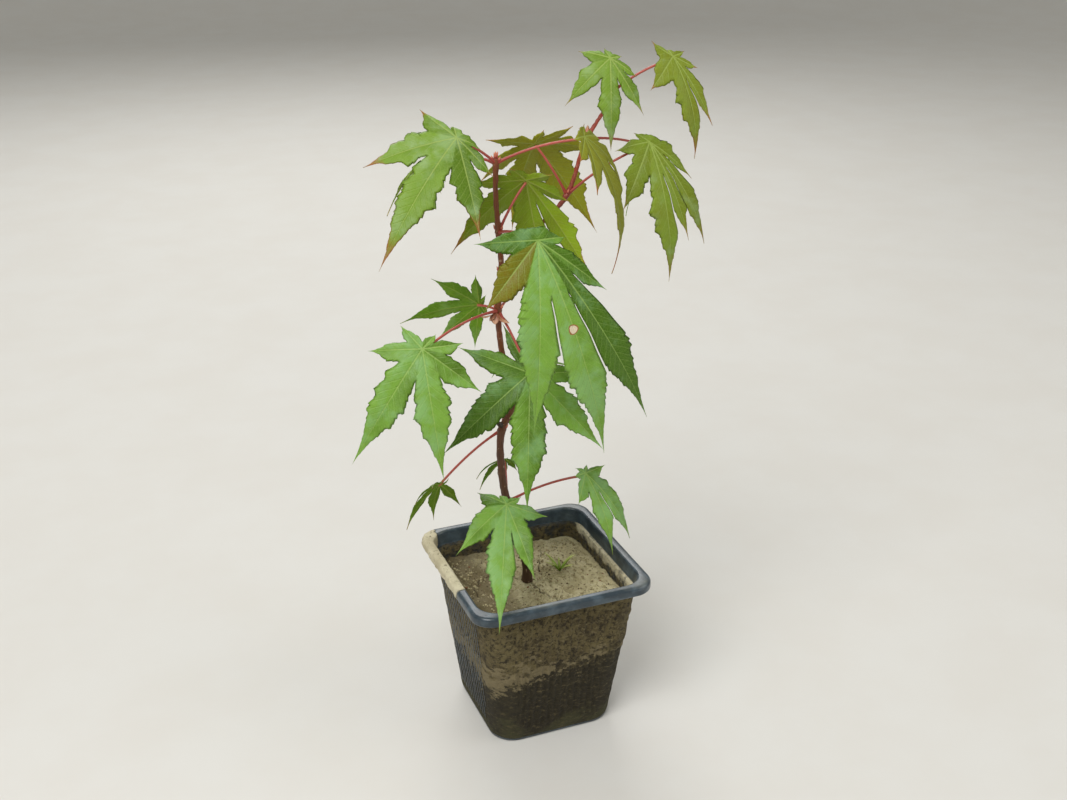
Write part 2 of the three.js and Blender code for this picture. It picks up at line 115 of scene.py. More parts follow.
# The leaves. node, joint, tip, faces, bend, angles and shares are as in the part. kind is the
# age that gives the leaf its colours. shade is painted shade: how much darker its green is
# painted where it lies in shade and where it faces away from the light, as one number or one
# for each lobe. warmth is how yellow it is and blush how red its tips are. A lobe named in
# turned has gone olive brown, and spot is the middle of a dry spot.
LEAVES = [
    dict(name="leaf_top_left", node="top", joint=(-32, -4, 259), tip=(-68.5, -20, 217),
         faces=(-112, 40), bend=40, angles=(-140, -103, -43, 0, 43, 71, 100),
         shares=(0.12, 0.31, 0.61, 1, 0.7, 0.35, 0.18), kind="fresh",
         shade=(0.5, 0.3, 0.1, 0.2, 0.8, 0.8, 0.6), warmth=0.0, blush=0.9),
    dict(name="leaf_top_hanging", node="top", joint=(15.5, -12, 257), tip=(28, -14, 202),
         faces=(-42, 35), bend=60, angles=(-110, -70, -35, 0, 40, 75, 115),
         shares=(0.12, 0.25, 0.4, 1, 0.85, 0.3, 0.12), kind="fresh",
         shade=1.0, warmth=1.0, blush=1.0),
    dict(name="leaf_top_back", node="branchLow", joint=(10, 24, 247), tip=(42.5, 33, 204),
         faces=(75, 25), bend=40, angles=(-125, -85, -50, 0, 45, 95, 145),
         shares=(0.15, 0.3, 0.45, 1, 0.8, 0.5, 0.4), kind="fresh",
         shade=0.5, warmth=0.9, blush=0.7),
    dict(name="leaf_upper_middle", node="fork", joint=(-2, 3, 238.5), tip=(10, 7.5, 187),
         faces=(80, 25), bend=35, angles=(-90, -46, -22, 0, 62, 105, 150),
         shares=(0.2, 0.4, 1, 1, 0.77, 0.4, 0.2), kind="fresh",
         shade=(0.5, 0.5, 0.3, 0.4, 0.6, 0.7, 0.6), warmth=0.4, blush=0.9),
    dict(name="leaf_large_front", node="fork", joint=(-10.5, -30, 225), tip=(14.5, -38, 137.5),
         faces=(-95, 25), bend=50, angles=(-110, -61, -22, 0, 15, 33, 75),
         shares=(0.25, 0.35, 0.8, 1, 0.94, 0.34, 0.12), kind="grown",
         shade=(0.8, 0.8, 0, 0.12, 0.95, 0.7, 0.6), warmth=0.0, blush=0.2,
         turned=(1,), spot=(-1.4, -42.3, 193.2)),
    dict(name="leaf_left_back", node="middle", joint=(-20, 8, 188.5), tip=(-53, 10, 185),
         faces=(95, 15), bend=30, angles=(-122, -82, -40, 0, 42, 86, 125),
         shares=(0.2, 0.6, 0.68, 1, 0.74, 0.47, 0.15), kind="grown",
         shade=0.5, warmth=0.0, blush=0.3),
    dict(name="leaf_lower_front", node="middle", joint=(-8, -16, 166.5), tip=(-16.5, -34, 114),
         faces=(-110, 40), bend=30, angles=(-151, -110, -47, 0, 46, 93, 135),
         shares=(0.41, 0.54, 0.85, 1, 0.75, 0.44, 0.15), kind="grown",
         shade=(0.8, 0.6, 0.8, 0.45, 0.1, 0.5, 0.8), warmth=0.1, blush=0.1),
    dict(name="leaf_left_front", node="middle", joint=(-54, -24, 186.5), tip=(-51.5, -38, 137),
         faces=(-112, 45), bend=35, angles=(-147, -98, -42, 0, 45, 89, 130),
         shares=(0.24, 0.39, 1, 1, 0.52, 0.29, 0.15), kind="grown",
         shade=(0.1, 0.2, 0.2, 0, 0.4, 0.4, 0.3), warmth=0.1, blush=0.1),
    dict(name="leaf_low_left_back", node="kink", joint=(-37.5, 12, 109.5), tip=(-52.5, 14, 90),
         faces=(110, 30), bend=40, angles=(-120, -77, -40, 0, 45, 96, 130),
         shares=(0.2, 0.9, 0.9, 1, 0.6, 0.47, 0.2), kind="grown",
         shade=0.7, warmth=0.3, blush=0.6),
    dict(name="leaf_low_back", node="low", joint=(-7, 14, 114.5), tip=(-18, 20, 100),
         faces=(100, 30), bend=40, angles=(-120, -75, -40, 0, 50, 95, 130),
         shares=(0.2, 0.6, 1, 1, 0.85, 0.5, 0.2), kind="grown",
         shade=0.8, warmth=0.1, blush=0.5),
    dict(name="leaf_over_rim", node="low", joint=(-17.5, -14, 109), tip=(-33.5, -47, 70),
         faces=(-110, 50), bend=40, angles=(-150, -117, -42, 0, 23, 73, 120),
         shares=(0.12, 0.26, 0.55, 1, 0.64, 0.32, 0.12), kind="grown",
         shade=(0.3, 0.5, 0.2, 0.1, 0.3, 0.4, 0.4), warmth=0.0, blush=0.3),
    dict(name="leaf_low_right", node="low", joint=(18.5, -12, 115.5), tip=(26.5, -22, 80.5),
         faces=(-80, 40), bend=50, angles=(-150, -100, -45, 0, 20, 85, 140),
         shares=(0.12, 0.14, 0.37, 1, 1, 0.25, 0.1), kind="grown",
         shade=(0.2, 0.2, 0.1, 0.1, 0.3, 0.4, 0.4), warmth=0.0, blush=0.3),
    dict(name="leaf_branch_tip_left", node="branchTop", joint=(35, 8, 281.5), tip=(32.5, 0, 246),
         faces=(-112, 45), bend=45, angles=(-150, -109, -47, 0, 32, 56, 100),
         shares=(0.12, 0.35, 0.68, 1, 0.69, 0.34, 0.12), kind="fresh",
         shade=(0.3, 0.3, 0.1, 0.3, 0.4, 0.4, 0.3), warmth=0.1, blush=0.6),
    dict(name="leaf_branch_tip_right", node="branchTop", joint=(63, 10, 280), tip=(73, 6, 239),
         faces=(-88, 40), bend=55, angles=(-168, -145, -60, 0, 14, 45, 90),
         shares=(0.1, 0.23, 0.39, 1, 0.72, 0.25, 0.12), kind="fresh",
         shade=0.3, warmth=0.6, blush=0.9),
    dict(name="leaf_branch_right", node="branchLow", joint=(51, 4, 248.5), tip=(58.5, -2, 192),
         faces=(-95, 35), bend=60, angles=(-140, -93, -38, 0, 12, 24, 42),
         shares=(0.12, 0.24, 0.5, 1, 0.72, 0.86, 0.4), kind="fresh",
         shade=(0.3, 0.3, 0.6, 0.3, 0.4, 0.5, 0.5), warmth=0.5, blush=0.6),
    dict(name="leaf_back_right", node="middle", joint=(15.5, 36, 186.5), tip=(40, 42.5, 155),
         faces=(62, 58), bend=50, angles=(-124, -78, -41, 0, 38, 82, 120),
         shares=(0.2, 0.5, 0.85, 1, 0.88, 0.52, 0.2), kind="grown",
         shade=0.3, warmth=0.1, blush=0.1),
    dict(name="leaf_back_left", node="top", joint=(-30.5, 30.5, 245), tip=(-37, 46.5, 212),
         faces=(125, 8), bend=45, angles=(-110, -74, -35, 0, 37, 70, 112),
         shares=(0.2, 0.46, 0.85, 1, 0.8, 0.5, 0.2), kind="fresh",
         shade=0.3, warmth=0.3, blush=0.5),
    dict(name="leaf_back_low", node="kink", joint=(3.5, 32, 151), tip=(42, 38.5, 128.5),
         faces=(60, 58), bend=45, angles=(-120, -81, -38, 0, 42, 79, 124),
         shares=(0.2, 0.52, 0.82, 1, 0.87, 0.48, 0.2), kind="grown",
         shade=0.4, warmth=0.1, blush=0.2),
    dict(name="leaf_branch_back", node="branchMiddle", joint=(79, 37, 232.5), tip=(59, 44.5, 207),
         faces=(125, 58), bend=50, angles=(-100, -62, -32, 0, 30, 60, 96),
         shares=(0.2, 0.42, 0.75, 1, 0.77, 0.4, 0.18), kind="grown",
         shade=0.3, warmth=0.2, blush=0.3),
]

# Finer sizes that only show close up
COURSE_STEP = 0.5
SPAN_STEPS = 60
LIMB_SIDES = 28
BARK_RELIEF = 0.06
BARK_RIDGES = 7
RING_HEIGHT = 0.18  # of the ring round each node
RING_WIDTH = 0.35
STALK_SIDES = 12
STALK_STEPS = 40
STALK_RADIUS = 0.5
STALK_FOOT_SWELL = 0.42
STALK_END_SWELL = 0.2
STALK_END_RADIUS = 0.3
STALK_FALLS = (14, 30)  # how fast the swellings at its foot and its end fall off
STALK_START = 0.55  # of the limb's radius, at which it starts inside the limb
STALK_END = (0.9, 0.25)  # outwards and down from the joint, where it ends in the blade
BLADE_THICKNESS = 0.3
TOOTH_SPACING = 2.7  # along a lobe
TOOTH_DEPTH = 0.095  # of the lobe's half width
TOOTH_SIZES = (0.35, 1.25)  # the smallest and the largest tooth
TOOTH_LEAN = 0.3  # of the spacing, towards the tip
TOOTH_ROWS = (0.35, 0.75, 1.0, 0.1)  # a tooth's outline, slow up and steep down
LOBULE_SPACING = 7.5  # of the coarse teeth, which carry the small ones
LOBULE_DEPTH = {"fresh": 0.38, "grown": 0.22}  # of the lobe's half width, on average
LOBULE_SIZES = (0.3, 1.7)  # the smallest and the largest coarse tooth
MOST_LOBULES = 40
LOBULE_TURN = 0.78  # the share of a coarse tooth's length at which its point lies
TIP_DRAW = 0.45  # the share of its width that a lobe's tip loses as it is drawn out
DRAW_ENDS = (0.4, 0.9)  # shares of the way past the notch where that loss starts and is full
FOLD = 0.27  # how far a lobe's halves rise from its midvein, for each millimetre outwards
FOLD_LOSS = 0.35  # the share of that rise that is lost at the margin
INNER_ROWS = 9
COLUMNS = np.array([0, 0.05, 0.12, 0.24, 0.4, 0.58, 0.78, 1])
VEIN_SPACING = 3.6  # between side veins, along the midvein
VEIN_SLOPE = 1.15  # how far a side vein runs forward for each millimetre outwards
VEIN_WANDER = 3
VEIN_RELIEF = 0.14
NET_SIZE = 0.9  # of the fine net between the veins
QUILT_HEIGHT = 0.28  # of the blade between its side veins
QUILT_START = (0.3, 2.5)  # distances from the midvein where the quilting starts and is full
CREASE_RADIUS = 0.6
MARGIN_WAVE = 0.55
WAVE_SPACING = 2.9  # along a lobe, for each radian of the wave
WAVE_START = (0, 0.2)  # shares of the way past the notch where the wave starts and is full
LOBE_DROOP = 2.2  # most that one lobe's tip hangs lower or higher than the blade's curve
SIDE_SHADE = 0.12  # painted shade and light: how much darker one half of a lobe and lighter the other is painted, as a fold shades it
TIP_RED = 0.9
TOOTH_RED = 0.45
OLIVE_RED = 0.25
DRY_SPOT = (0.6, 3.2)  # radii within which a leaf is wholly dry and beyond which it isn't
FAR_OFF = (0, 0, -1000)


def linear(colour):
    """An sRGB colour such as "#8f7f63" as linear RGBA."""
    values = [int(colour[i : i + 2], 16) / 255 for i in (1, 3, 5)]
    return [v / 12.92 if v <= 0.04045 else ((v + 0.055) / 1.055) ** 2.4 for v in values] + [1]


def unit(vectors):
    """The vectors' directions, with a length of 1."""
    return vectors / np.linalg.norm(vectors, axis=-1, keepdims=True)


def smooth(values, low, high):
    """A smooth step from 0 at low to 1 at high."""
    share = np.clip((values - low) / (high - low), 0, 1)
    return share * share * (3 - 2 * share)


def ripple(points, size, seed, waves=14):
    """Smooth noise round 0 whose mean height is about 1: a sum of sine waves of about one
    size, each running its own way."""
    rng = np.random.default_rng(seed)
    ways = unit(rng.normal(size=(waves, 3)))
    ways = ways * (2 * math.pi / (size * rng.uniform(0.7, 1.4, (waves, 1))))
    phases = rng.uniform(0, 2 * math.pi, waves)
    return np.sin(points @ ways.T + phases).sum(-1) * math.sqrt(2 / waves)


def grid_faces(rows, columns, closed=False):
    """Four-cornered faces of a grid of points, row by row. A closed grid joins its last
    column to its first."""
    row = np.arange(rows - 1)[:, None] * columns
    column = np.arange(columns if closed else columns - 1)[None, :]
    following = (column + 1) % columns
    corners = [row + column, row + following, row + columns + following, row + columns + column]
    return np.stack(corners, -1).reshape(-1, 4)


def join(parts):
    """Several (points, faces) as one."""
    counts = np.cumsum([0] + [len(points) for points, _ in parts])
    points = np.concatenate([points for points, _ in parts])
    return points, np.concatenate([faces + count for (_, faces), count in zip(parts, counts)])


def make_piece(name, points, faces, materials, replaced=(), face_material=None, values=None):
    """One finished piece of the plant. Points that coincide are made one, and corners of a
    face that fall together are dropped, which closes seams and poles."""
    keys = np.round(points / WELD).astype(np.int64)
    _, first, place = np.unique(keys, axis=0, return_index=True, return_inverse=True)
    corners = [list(dict.fromkeys(face)) for face in place.reshape(-1)[faces].tolist()]
    whole = np.array([len(face) > 2 for face in corners])
    mesh = bpy.data.meshes.new(name)
    mesh.from_pydata((points[first] * MM).tolist(), [], [face for face in corners if len(face) > 2])
    mesh.shade_smooth()
    for material in materials:
        mesh.materials.append(material)
    if face_material is not None:
        mesh.polygons.foreach_set("material_index", face_material[whole].astype(np.int32))
    for label, value in (values or {}).items():
        attribute = mesh.attributes.new(label, "FLOAT", "POINT")
        attribute.data.foreach_set("value", value[first].astype(np.float32))
    mesh.update()
    piece = bpy.data.objects.new(name, mesh)
    bpy.context.scene.collection.objects.link(piece)
    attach(piece, "root")
    if replaced:
        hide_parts(*replaced)
    return piece


# Materials

def add_node(tree, kind, inputs=None, output=0, **settings):
    """Adds a shader node with its settings and returns one of its outputs. Each input is a
    value or the output of another node."""
    node = tree.nodes.new("ShaderNode" + kind)
    for name, value in settings.items():
        setattr(node, name, value)
    for name, value in (inputs or {}).items():
        if isinstance(value, bpy.types.NodeSocket):
            tree.links.new(value, node.inputs[name])
        else:
            node.inputs[name].default_value = value
    return node.outputs[output]


def new_material(name):
    """A material with its tree, its shader and its Object coordinates."""
    material = bpy.data.materials.new(name)
    material.use_nodes = True
    tree = material.node_tree
    place = add_node(tree, "TexCoord", output="Object")
    return material, tree, tree.nodes["Principled BSDF"], place


def speckle(tree, place, size, stretch=(1, 1, 1), detail=4, roughness=0.6):
    """Soft noise from 0 to 1 with patches about size millimetres across, drawn out along
    each axis by its stretch."""
    scale = [1 / (size * MM * longer) for longer in stretch]
    drawn = add_node(tree, "Mapping", {"Vector": place, "Scale": scale}, "Vector")
    grain = {"Vector": drawn, "Scale": 1, "Detail": detail, "Roughness": roughness}
    return add_node(tree, "TexNoise", grain, "Fac")


def paint(tree, base, *layers):
    """Colours laid over each other. A layer is a pattern, the pattern's values where the
    layer starts and where it is full, the most that it covers, and its colour."""
    colour = linear(base)
    for pattern, start, full, most, shade in layers:
        ends = {"Value": pattern, "From Min": start, "From Max": full, "To Min": 0, "To Max": most}
        share = add_node(tree, "MapRange", ends, "Result", interpolation_type="SMOOTHSTEP")
        mixed = {0: share, 6: colour, 7: linear(shade)}
        colour = add_node(tree, "Mix", mixed, 2, data_type="RGBA")
    return colour


def finish_shader(tree, shader, colour, gloss, relief, depth, ior):
    """Links the colour, the roughness and the relief to the shader. gloss is a pattern, its
    values at two ends and the roughness there. relief is patterns with their weights, which
    stand up to depth millimetres high."""
    tree.links.new(colour, shader.inputs["Base Color"])
    pattern, start, full, smoothest, roughest = gloss
    ends = {"Value": pattern, "From Min": start, "From Max": full,
            "To Min": smoothest, "To Max": roughest}
    roughness = add_node(tree, "MapRange", ends, "Result")
    tree.links.new(roughness, shader.inputs["Roughness"])
    shader.inputs["IOR"].default_value = ior
    height = 0.0
    for pattern, weight in relief:
        height = add_node(tree, "Math", {0: pattern, 1: weight, 2: height}, operation="MULTIPLY_ADD")
    bump = {"Strength": 1, "Distance": depth * MM, "Height": height}
    tree.links.new(add_node(tree, "Bump", bump, "Normal"), shader.inputs["Normal"])


def leaf_skin(name, flesh, dark, sunned, sheen_colour, vein, singed, smoothest, vein_rise):
    """One side of a living leaf: a skin with wax over green flesh. It has a satin sheen, dark
    and yellow patches, pale patches of painted sheen, which stand for light reflected off its
    gloss, pale veins that fade to the tips, a fine net between them, and red-brown tips and
    teeth on the leaves that have them. The leaf's shade is painted as more of the dark green.
    Where the leaf has a dry spot, it is cream with a brown edge. vein_rise is 1 where the veins
    stand out and -1 where they lie in grooves. dark, sunned, vein and singed are colours, and
    so is the colour of the painted sheen."""
    material, tree, shader, place = new_material(name)
    along, across, past, shade, warmth, blush, dry = [
        add_node(tree, "Attribute", output="Fac", attribute_name=label)
        for label in ("along", "across", "past", "shade", "warmth", "blush", "dry")
    ]

    # Soft patches: painted sheen, dark patches with painted shade, sun and scorch
    patches = speckle(tree, place, 9)
    # painted sheen: pale patches that stand for reflected light, fewer where the leaf is in painted
    # shade and where it is yellow
    painted_sheen = speckle(tree, place, 12)
    for trait, less in [(shade, -0.13), (warmth, -0.2)]:
        painted_sheen = add_node(tree, "Math", {0: trait, 1: less, 2: painted_sheen}, operation="MULTIPLY_ADD")
    fine = speckle(tree, place, 2.5)
    # dark patches plus the leaf's painted shade
    dark_and_shaded = add_node(tree, "Math", {0: patches, 1: 1.1, 2: shade}, operation="MULTIPLY_ADD")
    sun = add_node(tree, "Math", {0: patches, 1: 0.5, 2: warmth}, operation="MULTIPLY_ADD")
    scorch = add_node(tree, "Math", {0: fine, 1: 0.5, 2: blush}, operation="MULTIPLY_ADD")
    dry = add_node(tree, "Math", {0: fine, 1: 0.9, 2: dry}, operation="MULTIPLY_ADD")

    # Veins: how far each point lies from a side vein, the midvein and the fine net
    run = along
    for pattern, weight in [(across, -VEIN_SLOPE), (patches, VEIN_WANDER)]:
        run = add_node(tree, "Math", {0: pattern, 1: weight, 2: run}, operation="MULTIPLY_ADD")
    side_vein = add_node(tree, "Math", {0: run, 1: VEIN_SPACING / 2}, operation="PINGPONG")
    midvein = add_node(tree, "Math", {0: past, 1: 0.25, 2: across}, operation="MULTIPLY_ADD")
    cells = {"Vector": place, "Scale": 1 / (NET_SIZE * MM)}
    net = add_node(tree, "TexVoronoi", cells, "Distance", feature="DISTANCE_TO_EDGE")

    colour = paint(
        tree, flesh,
        # dark patches and painted shade
        (dark_and_shaded, 0.52, 1.4, 1, dark),
        (sun, 0.3, 1.3, 0.9, sunned),
        # pale patches of painted sheen
        (painted_sheen, 0.42, 0.62, 0.42, sheen_colour),
        (net, 0.14, 0.02, 0.12, vein),
        (side_vein, 0.3, 0.06, 0.2, vein),
        (scorch, 0.4, 1.1, 0.9, singed),
        (midvein, 0.4, 0.12, 0.55, vein),
        (dry, 0.8, 0.95, 1, "#9a6236"),
        (dry, 1.05, 1.2, 1, "#dccdb0"),
    )
    ends = {"Value": midvein, "From Min": 0.7, "From Max": 0.1, "To Max": vein_rise}
    ridge = add_node(tree, "MapRange", ends, "Result", interpolation_type="SMOOTHSTEP")
    ends = {"Value": side_vein, "From Min": 0.5, "From Max": 0.05, "To Max": vein_rise}
    ribs = add_node(tree, "MapRange", ends, "Result", interpolation_type="SMOOTHSTEP")
    gloss = (fine, 0.3, 0.7, smoothest, smoothest + 0.14)
    relief = [(ridge, 1), (ribs, 0.5), (net, 0.6)]
    finish_shader(tree, shader, colour, gloss, relief, VEIN_RELIEF, 1.37)
    return material


def stalk_skin():
    """A leaf stalk: smooth thin skin, red and satin, paler towards the blade, where it turns
    yellow-green."""
    material, tree, shader, place = new_material("red_leaf_stalk")
    ripe = add_node(tree, "Attribute", output="Fac", attribute_name="ripe")
    fine = speckle(tree, place, 4)
    turn = add_node(tree, "Math", {0: fine, 1: 0.4, 2: ripe}, operation="MULTIPLY_ADD")
    colour = paint(tree, "#9c3a30", (turn, 0.1, 0.8, 1, "#b8574c"), (turn, 1.0, 1.4, 0.8, "#a98a4c"))
    skin = speckle(tree, place, 0.6)
    finish_shader(tree, shader, colour, (fine, 0.3, 0.7, 0.34, 0.46), [(skin, 1)], 0.05, 1.45)
    return material


def bark_skin(name, low, high, low_height, high_height, pores):
    """Young maple bark: thin and satin, darker near the ground, with fine streaks along the
    limb, a grey film in patches and small pale pores."""
    material, tree, shader, place = new_material(name)
    height = add_node(tree, "SeparateXYZ", {"Vector": place}, "Z")
    streaks = speckle(tree, place, 0.7, (1, 1, 8))
    patches = speckle(tree, place, 6)
    cells = speckle(tree, place, 1.1, (1, 1, 1.8), detail=1)
    colour = paint(
        tree, low,
        (height, low_height * MM, high_height * MM, 1, high),
        (streaks, 0.45, 0.75, 0.6, "#2f1f12"),
        (patches, 0.55, 0.8, 0.3, "#7a6748"),
        (cells, 0.68, 0.74, pores, "#b79d7c"),
    )
    relief = [(streaks, 1), (cells, 0.6)]
    finish_shader(tree, shader, colour, (patches, 0.3, 0.7, 0.42, 0.62), relief, 0.14, 1.5)
    return material


def bud_skin(name, scale, tip):
    """Bud scales and folded young leaves: thin skin with a satin gloss, a darker foot and
    lighter tips."""
    material, tree, shader, place = new_material(name)
    ripe = add_node(tree, "Attribute", output="Fac", attribute_name="ripe")
    fine = speckle(tree, place, 0.8)
    turn = add_node(tree, "Math", {0: fine, 1: 0.5, 2: ripe}, operation="MULTIPLY_ADD")
    colour = paint(tree, scale, (turn, 0.4, 1.2, 1, tip))
    finish_shader(tree, shader, colour, (fine, 0.3, 0.7, 0.38, 0.5), [(fine, 1)], 0.05, 1.45)
    return material


def pot_skin():
    """Moulded polypropylene under dried mud. The bare plastic is a satin blue-black with pale
    streaks that are scuffs and painted highlight, and dust on its top edge. The mud is matt and
    crumbly: mottled brown on the walls, nearly black, damp and a little mossy near the foot
    with pale clods above that, and beige where it is caked on the rim."""
    material, tree, shader, place = new_material("moulded_polypropylene_with_mud")
    film, cake, crest = [
        add_node(tree, "Attribute", output="Fac", attribute_name=label)
        for label in ("film", "cake", "crest")
    ]
    height = add_node(tree, "SeparateXYZ", {"Vector": place}, "Z")
    side = add_node(tree, "SeparateXYZ", {"Vector": place}, "X")
    broad = speckle(tree, place, 16)
    blotches = speckle(tree, place, 4, detail=8, roughness=0.75)
    clods = speckle(tree, place, 3.2, (1.6, 1.6, 0.8), detail=5, roughness=0.6)
    fibres = speckle(tree, place, 2, (1.5, 1.5, 0.6), detail=6, roughness=0.7)
    crumbs = speckle(tree, place, 1.6, detail=6, roughness=0.7)

    # Bare plastic, scuffed and dusty, with painted highlight in its pale streaks
    dust = add_node(tree, "Math", {0: broad, 1: 5 * MM, 2: height}, operation="MULTIPLY_ADD")
    bare = paint(
        tree, "#303c44",
        (speckle(tree, place, 6), 0.4, 0.7, 1, "#4a5962"),
        # pale streaks along the rim: scuffs with painted highlight
        (speckle(tree, place, 3, (3, 3, 0.5)), 0.55, 0.75, 0.35, "#74818a"),
        (crumbs, 0.55, 0.8, 0.4, "#6e6a5a"),
        (dust, (POT_HEIGHT + 2) * MM, (POT_HEIGHT + 3.6) * MM, 0.35, "#8c8d80"),
    )

    # Mud on the walls, with its damp foot, the pale clods along that and some moss
    damp = height
    for pattern, weight in [(side, -DAMP_SLOPE), (blotches, DAMP_WANDER * MM)]:
        damp = add_node(tree, "Math", {0: pattern, 1: weight, 2: damp}, operation="MULTIPLY_ADD")
    crust = add_node(tree, "Math", {0: damp, 1: DAMP_EDGE * MM}, operation="SUBTRACT")
    crust = add_node(tree, "Math", {0: crust}, operation="ABSOLUTE")
    for pattern, weight in [(side, 0.13), (clods, -36 * MM)]:
        crust = add_node(tree, "Math", {0: pattern, 1: weight, 2: crust}, operation="MULTIPLY_ADD")
    moss = add_node(tree, "Math", {0: broad, 1: -40 * MM, 2: height}, operation="MULTIPLY_ADD")
    mud = paint(
        tree, "#5a4f32",
        (broad, 0.35, 0.65, 1, "#6c613f"),
        (blotches, 0.52, 0.4, 0.6, "#372f1b"),
        (fibres, 0.52, 0.66, 0.7, "#8a7f5c"),
        (crumbs, 0.52, 0.38, 0.9, "#241e11"),
        (damp, (DAMP_EDGE + 7) * MM, (DAMP_EDGE - 8) * MM, 0.87, "#242013"),
        (fibres, 0.52, 0.7, 0.65, "#695d3f"),
        (moss, -10 * MM, -18 * MM, 0.45, "#4e4e2e"),
        (crust, -14.5 * MM, -18.5 * MM, 0.75, "#85795a"),
    )

    # Where the mud has stuck, which is less on the ribs' crests
    smear = film
    for pattern, weight in [(blotches, 0.8), (crest, -0.9)]:
        smear = add_node(tree, "Math", {0: pattern, 1: weight, 2: smear}, operation="MULTIPLY_ADD")
    ends = {"Value": smear, "From Min": 0.72, "From Max": 1.0}
    muddy = add_node(tree, "MapRange", ends, "Result", interpolation_type="SMOOTHSTEP")
    colour = add_node(tree, "Mix", {0: muddy, 6: bare, 7: mud}, 2, data_type="RGBA")

    # Mud caked on the rim
    caked = add_node(tree, "Math", {0: blotches, 1: 0.7, 2: cake}, operation="MULTIPLY_ADD")
    ends = {"Value": caked, "From Min": 0.75, "From Max": 0.95}
    caked = add_node(tree, "MapRange", ends, "Result", interpolation_type="SMOOTHSTEP")
    crumbly = paint(
        tree, "#dcd3b4",
        (broad, 0.4, 0.65, 0.8, "#beb392"),
        (crumbs, 0.44, 0.32, 0.8, "#6b6047"),
        (fibres, 0.6, 0.75, 0.6, "#c4bb9c"),
    )
    colour = add_node(tree, "Mix", {0: caked, 6: colour, 7: crumbly}, 2, data_type="RGBA")

    # The plastic's gloss and the mud's crumbs and lumps
    cover = add_node(tree, "Math", {0: muddy, 1: caked}, operation="MAXIMUM")
    grain = add_node(tree, "Math", {0: crumbs, 1: cover}, operation="MULTIPLY")
    lumps = add_node(tree, "Math", {0: clods, 1: cover}, operation="MULTIPLY")
    finish_shader(tree, shader, colour, (cover, 0, 1, 0.28, 0.95), [(grain, 1), (lumps, 1.4)],
                  MUD_RELIEF, 1.49)
    return material


def soil_skin():
    """Dry sandy loam: a matt beige crust with dark pits, darker brown towards the left, which is
    painted shadow of the leaves over it, and painted shade in the cracks, along the wall and on
    the soil's underside and sides."""
    material, tree, shader, place = new_material("dry_sandy_loam")
    deep = add_node(tree, "Attribute", output="Fac", attribute_name="deep")
    patches = speckle(tree, place, 13, detail=8, roughness=0.65)
    crumbs = speckle(tree, place, 1.4, detail=8, roughness=0.7)
    dust = speckle(tree, place, 4, detail=6)
    side = add_node(tree, "SeparateXYZ", {"Vector": place}, "X")
    # painted shadow of the leaves: darker brown towards the left
    brown = add_node(tree, "Math", {0: patches, 1: 20 * MM, 2: side}, operation="MULTIPLY_ADD")
    colour = paint(
        tree, "#b6aa82",
        (patches, 0.38, 0.62, 1, "#cac099"),
        (dust, 0.5, 0.7, 0.5, "#9c8d63"),
        # the leaves' painted shadow
        (brown, 2 * MM, -12 * MM, 0.8, "#5f5133"),
        (crumbs, 0.46, 0.34, 0.75, "#64563a"),
        (crumbs, 0.6, 0.75, 0.6, "#d0c6a2"),
        # painted shade in the cracks, along the wall and under the soil
        (deep, 0.2, 0.9, 0.9, "#352c1d"),
    )
    grains = speckle(tree, place, 0.45)
    relief = [(crumbs, 1), (grains, 0.8)]
    finish_shader(tree, shader, colour, (dust, 0.3, 0.7, 0.9, 1), relief, 0.8, 1.5)
    return material


def grit_skin(name, colour, other, roughness):
    """A grain of sand, bark or fired clay: matt, in two close colours."""
    material, tree, shader, place = new_material(name)
    colour = paint(tree, colour, (speckle(tree, place, 2.5), 0.4, 0.6, 1, other))
    fine = speckle(tree, place, 0.4)
    finish_shader(tree, shader, colour, (fine, 0.3, 0.7, roughness, 1), [(fine, 1)], 0.1, 1.5)
    return material


# Limbs

def course(path):
    """Evenly spaced points along a centripetal Catmull-Rom curve through the path: each
    span is a cubic whose end slopes come from its neighbours, weighed by the square root of
    the distance between points."""
    ends = [2 * path[0] - path[1], *path, 2 * path[-1] - path[-2]]
    knots = np.array(ends, float)
    step = np.sqrt(np.linalg.norm(np.diff(knots, axis=0), axis=1))[:, None]
    before, along, after = step[:-2], step[1:-1], step[2:]
    a, b, c, d = knots[:-3], knots[1:-2], knots[2:-1], knots[3:]
    slope_b = ((b - a) / before - (c - a) / (before + along) + (c - b) / along) * along
    slope_c = ((c - b) / along - (d - b) / (along + after) + (d - c) / after) * along
    t = np.linspace(0, 1, SPAN_STEPS, endpoint=False)[None, :, None]
    b, c, slope_b, slope_c = (v[:, None] for v in (b, c, slope_b, slope_c))
    cubic = b + slope_b * t + (3 * (c - b) - 2 * slope_b - slope_c) * t**2
    cubic = cubic + (2 * (b - c) + slope_b + slope_c) * t**3
    points = np.concatenate([cubic.reshape(-1, 3), knots[-2:-1]])
    length = np.concatenate([[0], np.cumsum(np.linalg.norm(np.diff(points, axis=0), axis=1))])
    places = np.linspace(0, length[-1], int(length[-1] / COURSE_STEP) + 2)
    return np.stack([np.interp(places, length, points[:, axis]) for axis in range(3)], 1)


